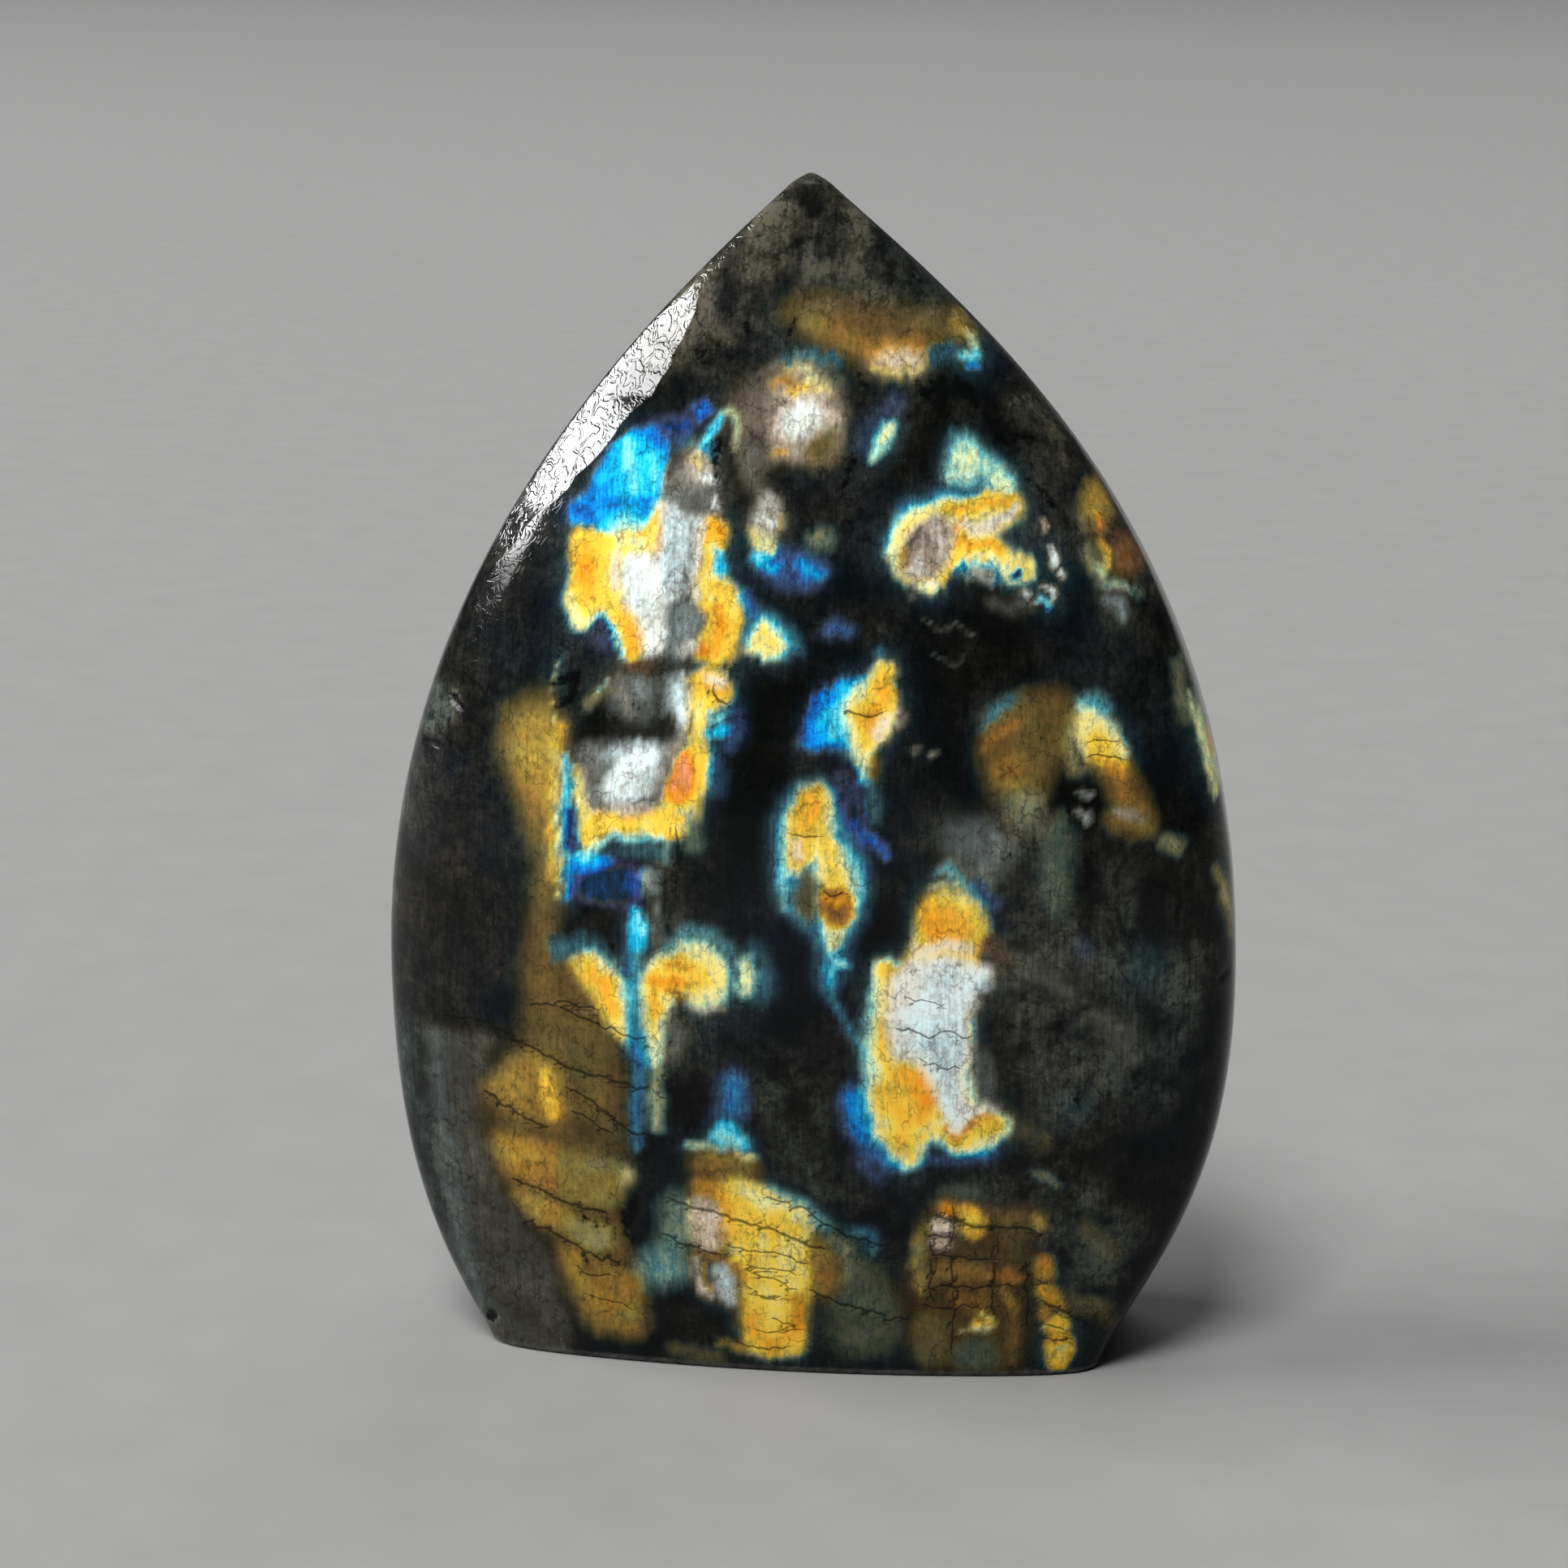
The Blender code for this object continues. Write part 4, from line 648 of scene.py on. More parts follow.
FOOT_PATCH = [
    (0.42, 0.13, 3.0, [(3.0, 13.4), (5.6, 12.0), (8.4, 8.8), (8.9, 5.4), (7.8, 2.4), (3.8, 1.8),
                       (2.6, 7.0)]),
    (0.28, 0.30, 1.6, [(4.8, 14.0, 0.3), (6.2, 13.8, 0.4), (6.4, 12.6, 0.5)]),
    (0.40, 0.32, 2.2, [(-11.0, 16.6), (-9.2, 16.8), (-8.8, 14.0), (-9.0, 11.4), (-10.8, 11.4),
                       (-11.4, 14.0)]),
    (0.37, 0.38, 2.6, [(-12.8, 11.2), (-11.0, 12.2), (-9.4, 11.0), (-9.2, 9.0), (-10.8, 7.6), (-12.2, 7.8),
                       (-13.2, 9.6)]),
    (0.57, 0.30, 1.6, [(1.2, 13.0), (3.0, 12.8), (3.6, 10.6), (3.0, 7.6), (1.2, 7.6)]),
    (0.43, 0.26, 1.2, [(2.8, 13.2, 0.2), (4.2, 12.8, 0.4), (4.4, 10.8, 0.4), (4.0, 9.2, 0.3)]),
    (0.36, 0.60, 1.5, [(-2.0, 17.6, 0.1), (0.4, 16.3, 0.4), (2.0, 15.0, 0.5), (2.8, 14.2, 0.2)]),
    (0.52, 1.00, 1.5, [(-6.4, 18.2), (-4.4, 18.6), (-2.6, 17.8), (-1.0, 16.6), (0.8, 15.4), (1.5, 13.6),
                       (1.2, 12.0), (1.1, 9.0), (0.9, 6.5), (0.8, 4.5), (0.8, 2.8), (0.0, 1.5), (-4.4, 1.7),
                       (-4.5, 4.0), (-4.4, 6.0), (-4.6, 8.0), (-5.2, 10.4), (-5.8, 12.0), (-6.2, 14.0),
                       (-6.6, 16.6)]),
    (0.59, 1.00, 1.5, [(-6.0, 17.6, 0.3), (-5.7, 15.4, 0.4), (-5.4, 13.0, 0.3)]),
    (0.49, 1.00, 1.4, [(-4.0, 17.2, 0.5), (-2.2, 16.2, 0.7), (-0.4, 15.0, 0.6)]),
    (0.43, 0.95, 1.1, [(-1.2, 16.2, 0.2), (0.4, 15.0, 0.45), (1.2, 13.9, 0.3)]),
    (0.57, 0.95, 2.0, [(-3.6, 8.6, 0.4), (-3.2, 6.4, 0.7), (-2.4, 4.6, 0.9), (-1.0, 3.6, 0.7)]),
    (0.62, 0.90, 1.6, [(-4.0, 5.4, 0.3), (-3.4, 3.6, 0.5), (-2.0, 2.6, 0.5)]),
    (0.66, 0.75, 1.5, [(-0.4, 7.6, 0.2), (0.3, 6.4, 0.5), (0.2, 4.6, 0.4)]),
    (0.58, 0.45, 1.0, [(-4.6, 2.2, 0.3), (-6.4, 2.4, 0.2)]),
    (0.60, 0.50, 1.2, [(-8.6, 18.2), (-6.6, 18.2), (-6.2, 16.2), (-8.6, 16.2)]),
    (0.81, 0.80, 1.2, [(-8.9, 16.4), (-7.2, 16.4), (-6.3, 15.0), (-6.1, 12.2), (-7.2, 11.2), (-8.8, 11.6)]),
    (0.60, 0.55, 0.8, [(-6.3, 14.2, 0.2), (-6.1, 12.0, 0.3), (-6.6, 11.2, 0.2)]),
    (0.45, 0.85, 0.7, [(-9.0, 16.2, 0.12), (-9.0, 14.2, 0.15), (-8.9, 12.4, 0.1)]),
    (0.60, 0.34, 1.4, [(-8.4, 10.8, 0.3), (-6.8, 11.0, 0.4), (-5.0, 9.6, 0.3), (-4.8, 6.6, 0.25)]),
    (0.83, 0.75, 0.8, [(-8.5, 10.4, 0.2), (-8.5, 9.0, 0.25), (-8.1, 7.8, 0.25), (-7.2, 6.9, 0.2)]),
    (0.52, 0.50, 0.7, [(-7.8, 9.8, 0.15), (-7.7, 8.4, 0.2), (-7.2, 7.4, 0.15)]),
    (0.95, 0.62, 1.1, [(-7.1, 9.8), (-6.2, 10.3), (-5.4, 9.4), (-5.0, 7.6), (-5.3, 6.2), (-6.2, 6.8),
                       (-6.9, 8.2)]),
    (0.97, 0.80, 0.7, [(-6.5, 9.2, 0.15), (-6.0, 7.8, 0.2)]),
    (None, 0.10, 0.5, [(-4.7, 10.4, 0.06), (-4.5, 7.0, 0.1), (-4.6, 4.0, 0.1), (-4.6, 2.4, 0.06)]),
    (0.46, 0.12, 1.8, [(-10.4, 1.6, 0.6), (-7.0, 1.2, 0.6)]),
]
FOOT_RIGHT = [
    (0.58, 0.10, 2.0, [(10.4, 12.2), (11.0, 15.6), (13.0, 17.2), (15.4, 16.6), (17.6, 16.4), (20.6, 16.6),
                       (20.6, 14.0), (19.2, 12.0), (19.2, 4.0), (18.6, 0.6), (13.8, 0.6), (10.4, 0.8),
                       (10.0, 6.4), (9.6, 9.4)]),
    (0.41, 0.16, 1.8, [(13.0, 17.6, 0.4), (14.8, 17.9, 0.5)]),
    (0.51, 0.36, 1.2, [(11.1, 14.8, 0.2), (10.5, 13.0, 0.45), (10.4, 10.8, 0.5), (10.8, 8.6, 0.3)]),
    (0.60, 0.28, 0.9, [(11.4, 11.3), (16.7, 11.2), (16.7, 9.2), (11.4, 9.2)]),
    (0.59, 0.24, 1.0, [(12.8, 9.0), (16.6, 9.0), (16.6, 6.4), (14.4, 6.4), (12.8, 7.4)]),
    (0.66, 0.36, 0.8, [(17.1, 10.7), (19.0, 10.5), (18.8, 9.2), (17.1, 9.2)]),
    (0.57, 0.32, 0.8, [(17.5, 8.8, 0.25), (18.1, 7.6, 0.4), (18.4, 6.4, 0.2)]),
    (0.58, 0.18, 1.0, [(16.0, 16.0), (19.0, 15.9), (18.8, 14.6), (16.0, 14.8)]),
    (0.55, 0.38, 0.8, [(19.6, 16.0), (20.8, 15.9), (20.9, 14.5), (19.6, 14.4)]),
    (0.67, 0.62, 1.0, [(11.9, 15.6), (12.1, 16.8), (13.4, 16.8), (13.6, 15.4), (12.4, 15.2)]),
    (0.58, 0.88, 1.1, [(13.6, 15.1), (13.8, 16.7), (15.0, 16.4), (15.8, 15.5), (15.8, 14.6), (14.4, 14.8)]),
    (0.61, 0.80, 0.9, [(13.5, 14.6), (15.8, 14.4), (15.6, 13.4), (14.2, 13.5)]),
    (0.82, 0.92, 0.9, [(11.3, 14.9), (12.2, 15.2), (13.3, 14.8), (13.3, 13.9), (11.6, 13.8)]),
    (0.81, 0.66, 0.8, [(11.4, 13.5), (13.2, 13.4), (13.2, 12.4), (11.8, 12.3)]),
    (0.44, 0.40, 0.7, [(13.9, 4.6, 0.15), (15.0, 4.9, 0.2), (16.2, 4.6, 0.15)]),
    (0.46, 0.95, 0.9, [(14.8, 5.0), (15.2, 6.2), (16.0, 6.6), (16.8, 6.0), (16.7, 4.9)]),
    (0.66, 0.75, 0.6, [(15.4, 5.9, 0.2), (16.3, 5.7, 0.2)]),
    (0.62, 0.52, 1.0, [(19.9, 12.1), (21.3, 12.2), (21.7, 10.6), (21.6, 9.4), (20.0, 9.6)]),
    (0.61, 0.68, 0.9, [(20.1, 9.4), (21.6, 9.2), (22.3, 7.6), (22.4, 6.6), (20.4, 7.2)]),
    (0.60, 0.50, 0.8, [(20.3, 7.0), (21.4, 6.6), (20.9, 5.6), (20.4, 6.0)]),
    (0.52, 0.90, 0.8, [(20.8, 5.4), (21.8, 6.4), (22.6, 5.8), (22.8, 4.2), (21.0, 4.2)]),
    (0.45, 0.80, 0.5, [(20.9, 5.2, 0.12), (22.4, 4.6, 0.12)]),
    (0.55, 0.95, 0.8, [(20.9, 4.2), (22.9, 4.2), (23.1, 2.4), (22.8, 0.9), (21.6, 0.8), (21.0, 1.4)]),
    (0.48, 0.95, 0.5, [(21.3, 3.0, 0.12), (22.5, 2.8, 0.15)]),
    (0.41, 0.13, 1.6, [(13.4, 3.4), (16.6, 3.8), (17.0, 1.0), (13.4, 0.8)]),
    (0.50, 0.17, 1.4, [(9.6, 6.4), (12.8, 6.0), (13.0, 1.2), (9.6, 1.2)]),
    (0.58, 0.22, 0.8, [(18.3, 6.0, 0.25), (18.3, 1.6, 0.3)]),
    (0.44, 0.24, 0.8, [(19.9, 20.0, 0.15), (20.8, 19.2, 0.3), (22.0, 18.3, 0.15)]),
    (0.50, 0.16, 1.8, [(23.2, 7.4, 0.6), (25.4, 6.8, 0.7), (26.4, 5.0, 0.4)]),
]
DIM_RIGHT = [
    (0.92, 0.13, 0.4, [(9.8, 65.4, 0.05), (11.6, 64.6, 0.08), (13.0, 65.2, 0.05), (14.4, 64.2, 0.06)]),
    (0.92, 0.12, 0.4, [(11.0, 62.6, 0.05), (12.6, 62.0, 0.06), (13.6, 62.6, 0.05)]),
    (0.92, 0.10, 1.0, [(15.4, 66.8, 0.3), (17.0, 66.2, 0.4), (18.2, 66.8, 0.2)]),
    (0.90, 0.08, 1.4, [(18.0, 38.4, 0.6), (20.4, 37.0, 0.9), (22.0, 35.4, 0.5)]),
    (0.90, 0.08, 1.4, [(24.6, 33.4, 0.6), (26.8, 31.6, 0.9), (27.6, 29.4, 0.5)]),
    (0.46, 0.07, 1.6, [(17.4, 24.6, 0.6), (20.6, 22.4, 0.8)]),
    (0.46, 0.08, 1.6, [(24.0, 14.6, 0.6), (26.4, 12.0, 0.9)]),
    (0.40, 0.13, 2.0, [(19.9, 49.8), (22.2, 50.4), (22.4, 46.0), (22.2, 42.0), (20.4, 42.0), (19.8, 45.6)]),
    (0.99, 0.14, 2.4, [(11.6, 49.6), (17.0, 49.6), (17.6, 46.6), (15.4, 43.8), (12.6, 45.6)]),
    (0.99, 0.10, 0.9, [(14.5, 30.4), (16.4, 30.4), (16.5, 26.0), (14.9, 25.9)]),
    (0.30, 0.05, 2.6, [(28.6, 37.0, 1.6)]),
    (0.20, 0.10, 2.2, [(23.4, 38.8, 0.9)]),
    (0.30, 0.05, 2.6, [(23.0, 25.4, 1.4)]),
]
FLASHES = (
    DIM_RIGHT + TOP_BAND + ROUND_PATCH + UNDER_ROUND + SLIT + GREEN_HEAD + MASK + RIGHT_RIM + BLUE_CORNER
    + OLIVE_BAND + LEFT_PATCH + YELLOW_POINT + SECOND_PATCH + BROWN_FIELD_AND_SHEEN + BLUE_FOOT + LEFT_HOOK + COMMA
    + LENS + SAIL + MAIN_PATCH + BROWN_PATCH + YELLOW_FLAME + EDGE_STREAK + FOOT_CROWN + FOOT_PATCH
    + FOOT_RIGHT
)

# The grey of the stone and a painted sheen, painted the same way as (paleness, warmth, rim, shape).
GREYS_AND_SHEEN = [
    (0.53, 0.70, 5.0, [(-14.0, 86.0), (-6.0, 98.0), (0.0, 102.0), (8.0, 97.0), (12.0, 91.0), (4.0, 90.6),
                       (-2.0, 90.0), (-5.0, 87.0), (-10.0, 84.0)]),
    (0.04, 0.40, 1.8, [(4.6, 96.4), (7.0, 96.0), (12.5, 91.0), (12.0, 89.4), (7.0, 90.8), (3.6, 92.4)]),
    (0.06, 0.40, 1.2, [(0.0, 95.8), (1.6, 97.4), (3.2, 97.6), (3.4, 95.6), (2.6, 93.6), (0.6, 93.2),
                       (-0.2, 94.2)]),
    (0.95, 0.80, 2.0, [(-8.4, 90.6, 0.6), (-8.2, 88.4, 0.9), (-6.2, 87.2, 0.7)]),
    (0.90, 0.55, 1.5, [(-6.6, 90.6, 0.5), (-6.4, 89.4, 0.5)]),
    (1.00, 0.60, 0.8, [(-5.0, 95.0, 0.2), (-3.4, 93.8, 0.3), (-1.6, 92.4, 0.2)]),
    (1.00, 0.40, 0.5, [(2.6, 98.0, 0.15), (1.2, 97.2, 0.2), (-0.2, 96.0, 0.15)]),
    (0.90, 0.50, 0.7, [(5.0, 95.0, 0.15), (4.0, 94.0, 0.25), (2.8, 93.0, 0.2)]),
    (1.00, 0.45, 0.6, [(-0.2, 92.1, 0.25), (1.2, 92.8, 0.25)]),
    (0.12, 0.95, 0.7, [(-4.0, 91.2, 0.15), (-1.6, 91.0, 0.2), (1.5, 91.4, 0.15)]),
    (0.02, 0.40, 0.9, [(-0.8, 94.4, 0.2), (-0.7, 91.6, 0.15)]),
    (0.07, 0.95, 6.0, [(-36.0, 28.0), (-37.0, 46.0), (-33.0, 56.0), (-27.0, 61.0), (-24.0, 58.0),
                       (-22.4, 44.0), (-21.4, 32.0), (-25.0, 27.0)]),
    (0.30, 0.15, 2.4, [(-36.2, 30.0, 0.4), (-36.2, 40.0, 0.6), (-34.8, 50.0, 0.9), (-32.6, 56.6, 0.8)]),
    # This layer and the next paint the lower left paler and cooler, a painted floor reflection on its grey.
    (0.30, 0.40, 1.3, [(-31.8, 29.4), (-31.8, 29.4), (-25.6, 29.2), (-25.6, 29.2), (-26.8, 25.0),
                       (-26.0, 20.5), (-25.0, 16.0), (-23.0, 12.6), (-20.6, 10.0), (-19.8, 4.0),
                       (-19.8, -2.0), (-28.0, -2.0), (-29.2, 6.0), (-30.6, 14.0), (-31.8, 24.0)]),
    (0.36, 0.05, 1.8, [(-31.6, 30.0), (-31.2, 22.0), (-30.2, 14.0), (-28.6, 6.0), (-27.2, -2.0),
                       (-38.0, -2.0), (-38.0, 30.0)]),
    (0.90, 0.15, 2.0, [(-32.4, 57.6), (-30.4, 58.6), (-28.6, 57.4), (-29.6, 54.8), (-31.6, 53.8),
                       (-33.2, 54.8)]),
    (0.03, 0.50, 3.0, [(-26.0, 70.0), (-22.4, 66.0), (-23.0, 60.0), (-27.0, 60.0), (-28.5, 66.0)]),
    (0.55, 0.60, 2.5, [(-14.6, 60.0, 1.2), (-12.0, 58.6, 1.0)]),
    (0.30, 0.60, 3.0, [(-10.5, 46.0, 0.8), (-9.4, 41.0, 1.0)]),
    (0.02, 0.40, 3.0, [(-7.0, 58.0), (-6.0, 44.0), (-2.6, 42.0), (-2.0, 50.0), (0.0, 54.0), (-2.0, 60.0)]),
    (0.40, 0.45, 4.0, [(13.0, 46.0), (18.0, 52.0), (22.0, 48.0), (30.0, 44.0), (32.0, 34.0), (30.0, 24.0),
                       (22.0, 22.0), (16.0, 26.0), (16.0, 38.0)]),
    (0.44, 0.30, 4.0, [(12.0, 18.0), (24.0, 20.0), (30.0, 14.0), (26.0, 4.0), (22.0, 10.0), (14.0, 17.0)]),
    (0.03, 0.40, 2.5, [(9.5, 84.5), (12.5, 84.0), (17.0, 80.0), (15.0, 79.6), (10.8, 80.0), (9.0, 82.0)]),
    (0.02, 0.50, 2.5, [(20.6, 75.0), (21.8, 76.0), (23.0, 70.0), (24.0, 66.0), (21.8, 66.0), (21.4, 71.0)]),
    (0.03, 0.50, 3.0, [(8.4, 66.0), (14.0, 67.6), (19.0, 66.0), (15.0, 60.0), (13.6, 56.0), (9.6, 57.0)]),
    (0.02, 0.40, 2.5, [(28.0, 60.0), (31.4, 58.0), (32.4, 50.0), (33.0, 46.0), (29.0, 49.0), (27.6, 54.0)]),
    (0.03, 0.40, 2.5, [(24.0, 48.0), (25.4, 46.0), (24.6, 41.0), (22.8, 42.0), (23.0, 46.0)]),
    (0.60, 0.40, 1.6, [(16.8, 72.2, 0.5), (18.6, 71.6, 0.8)]),
    (0.50, 0.45, 2.0, [(19.0, 33.4, 1.6), (20.6, 28.0, 1.6)]),
    (0.30, 0.10, 3.0, [(-7.6, 33.0, 1.2), (-6.6, 30.2, 1.4)]),
    (0.30, 0.30, 2.2, [(-9.6, 32.6), (-5.0, 33.0), (-1.0, 31.0), (1.0, 28.0), (3.0, 24.0), (4.6, 20.4),
                       (7.6, 18.4), (5.6, 16.0), (2.4, 16.8), (-0.4, 18.0), (-2.4, 20.6), (-3.0, 24.0),
                       (-4.0, 28.0), (-8.0, 28.6), (-9.8, 27.0), (-10.4, 30.0)]),
    (0.58, 0.25, 4.0, [(25.0, 43.5), (32.5, 42.0), (33.4, 31.0), (30.4, 23.0), (26.0, 25.0), (25.4, 34.0)]),
    (0.25, 0.50, 3.0, [(12.8, 86.5), (15.5, 84.5), (19.0, 80.0), (22.0, 75.5), (21.6, 70.0), (20.4, 72.0),
                       (19.6, 76.4), (17.0, 80.0), (13.6, 83.6)]),
    (0.50, 0.80, 1.2, [(19.6, 80.4, 0.3), (21.2, 77.4, 0.4), (22.2, 73.6, 0.4), (22.4, 70.6, 0.3)]),
]

# Black inclusions, as streaks of (x, z, radius) points.
INCLUSIONS = [
    [(10.6, 83.8, 0.9), (11.2, 81.4, 0.7), (9.0, 83.9, 0.4)],
    [(12.0, 84.0, 0.5), (14.2, 82.0, 0.5), (16.0, 79.8, 0.4)],
    [(3.8, 77.6, 0.4), (3.2, 76.0, 0.4)],
    [(4.4, 84.2, 0.4), (4.8, 83.4, 0.2)],
    [(-7.0, 86.6, 0.4), (-6.2, 85.6, 0.3)],
    [(-8.6, 85.6, 0.5), (-7.6, 85.2, 0.3)],
    [(-5.0, 89.2, 0.25), (-4.8, 87.8, 0.4)],
    [(-1.2, 88.6, 0.3), (-1.4, 87.4, 0.2)],
    [(-6.9, 79.0, 0.5), (-6.9, 76.0, 0.4)],
    [(18.2, 79.4, 0.3), (15.6, 79.5, 0.4)],
    [(18.1, 76.3, 0.25), (19.3, 75.5, 0.35), (20.2, 74.0, 0.2)],
    [(-20.4, 59.6, 0.3), (-18.4, 60.2, 0.5), (-18.8, 58.6, 0.5), (-20.0, 57.6, 0.2)],
    [(-13.8, 58.8, 0.2), (-13.2, 57.8, 0.3)],
    [(-17.4, 41.2, 0.5)],
    [(-15.6, 39.2, 0.4), (-15.2, 38.4, 0.5)],
    [(-10.0, 46.2, 0.3), (-10.0, 43.4, 0.4)],
    [(-11.2, 30.3, 0.2), (-9.6, 30.2, 0.15)],
    [(-8.0, 32.2, 0.15), (-6.2, 31.6, 0.2)],
    [(-3.9, 31.8, 0.15), (-2.8, 30.8, 0.2), (-1.2, 28.6, 0.45), (-0.9, 28.4, 0.2)],
    [(-7.9, 26.6, 0.1), (-8.3, 24.0, 0.4), (-9.0, 22.0, 0.3)],
    [(-13.4, 16.2, 0.5), (-14.2, 14.4, 0.9), (-14.4, 13.0, 0.5), (-13.6, 11.8, 0.3)],
    [(-17.9, 13.7, 0.45), (-17.4, 13.5, 0.4), (-16.8, 12.8, 0.2)],
    [(-16.2, 14.2, 0.2), (-16.4, 13.2, 0.15)],
    [(-15.6, 13.0, 0.25), (-15.6, 12.0, 0.2)],
    [(-18.2, 10.4, 0.2), (-18.2, 9.7, 0.3)],
    [(-15.2, 10.4, 0.2), (-15.3, 9.0, 0.3)],
    [(5.9, 38.6, 0.4), (6.6, 38.9, 0.4), (6.3, 37.6, 0.3)],
    [(17.9, 47.9, 0.15), (17.2, 46.7, 0.15), (16.2, 46.2, 0.1)],
    [(19.5, 52.4, 0.4), (19.8, 51.8, 0.2)],
    [(19.4, 50.6, 0.3), (20.0, 50.1, 0.2)],
    [(22.0, 50.8, 0.2), (22.4, 49.2, 0.3)],
    [(24.0, 46.6, 0.6), (23.6, 44.0, 0.5)],
    [(21.2, 32.6, 0.5), (22.0, 32.8, 0.25), (21.2, 31.2, 0.35)],
    [(24.4, 28.4, 0.25), (23.4, 28.6, 0.15)],
    [(23.2, 26.2, 0.4), (23.2, 25.4, 0.2)],
    [(27.0, 18.6, 0.3), (27.6, 17.0, 0.3), (29.0, 15.6, 0.2)],
    [(34.6, 35.4, 0.4), (34.2, 34.8, 0.2)],
    [(31.2, 43.2, 0.3), (31.0, 41.4, 0.3)],
    [(2.2, 71.6, 0.2), (4.2, 73.0, 0.25)],
    [(21.0, 13.2, 0.2), (20.4, 14.2, 0.2)],
    [(10.4, 31.4, 0.12), (10.9, 31.2, 0.15)],
    [(10.6, 28.8, 0.15)],
    [(14.9, 71.0, 0.22)],
]

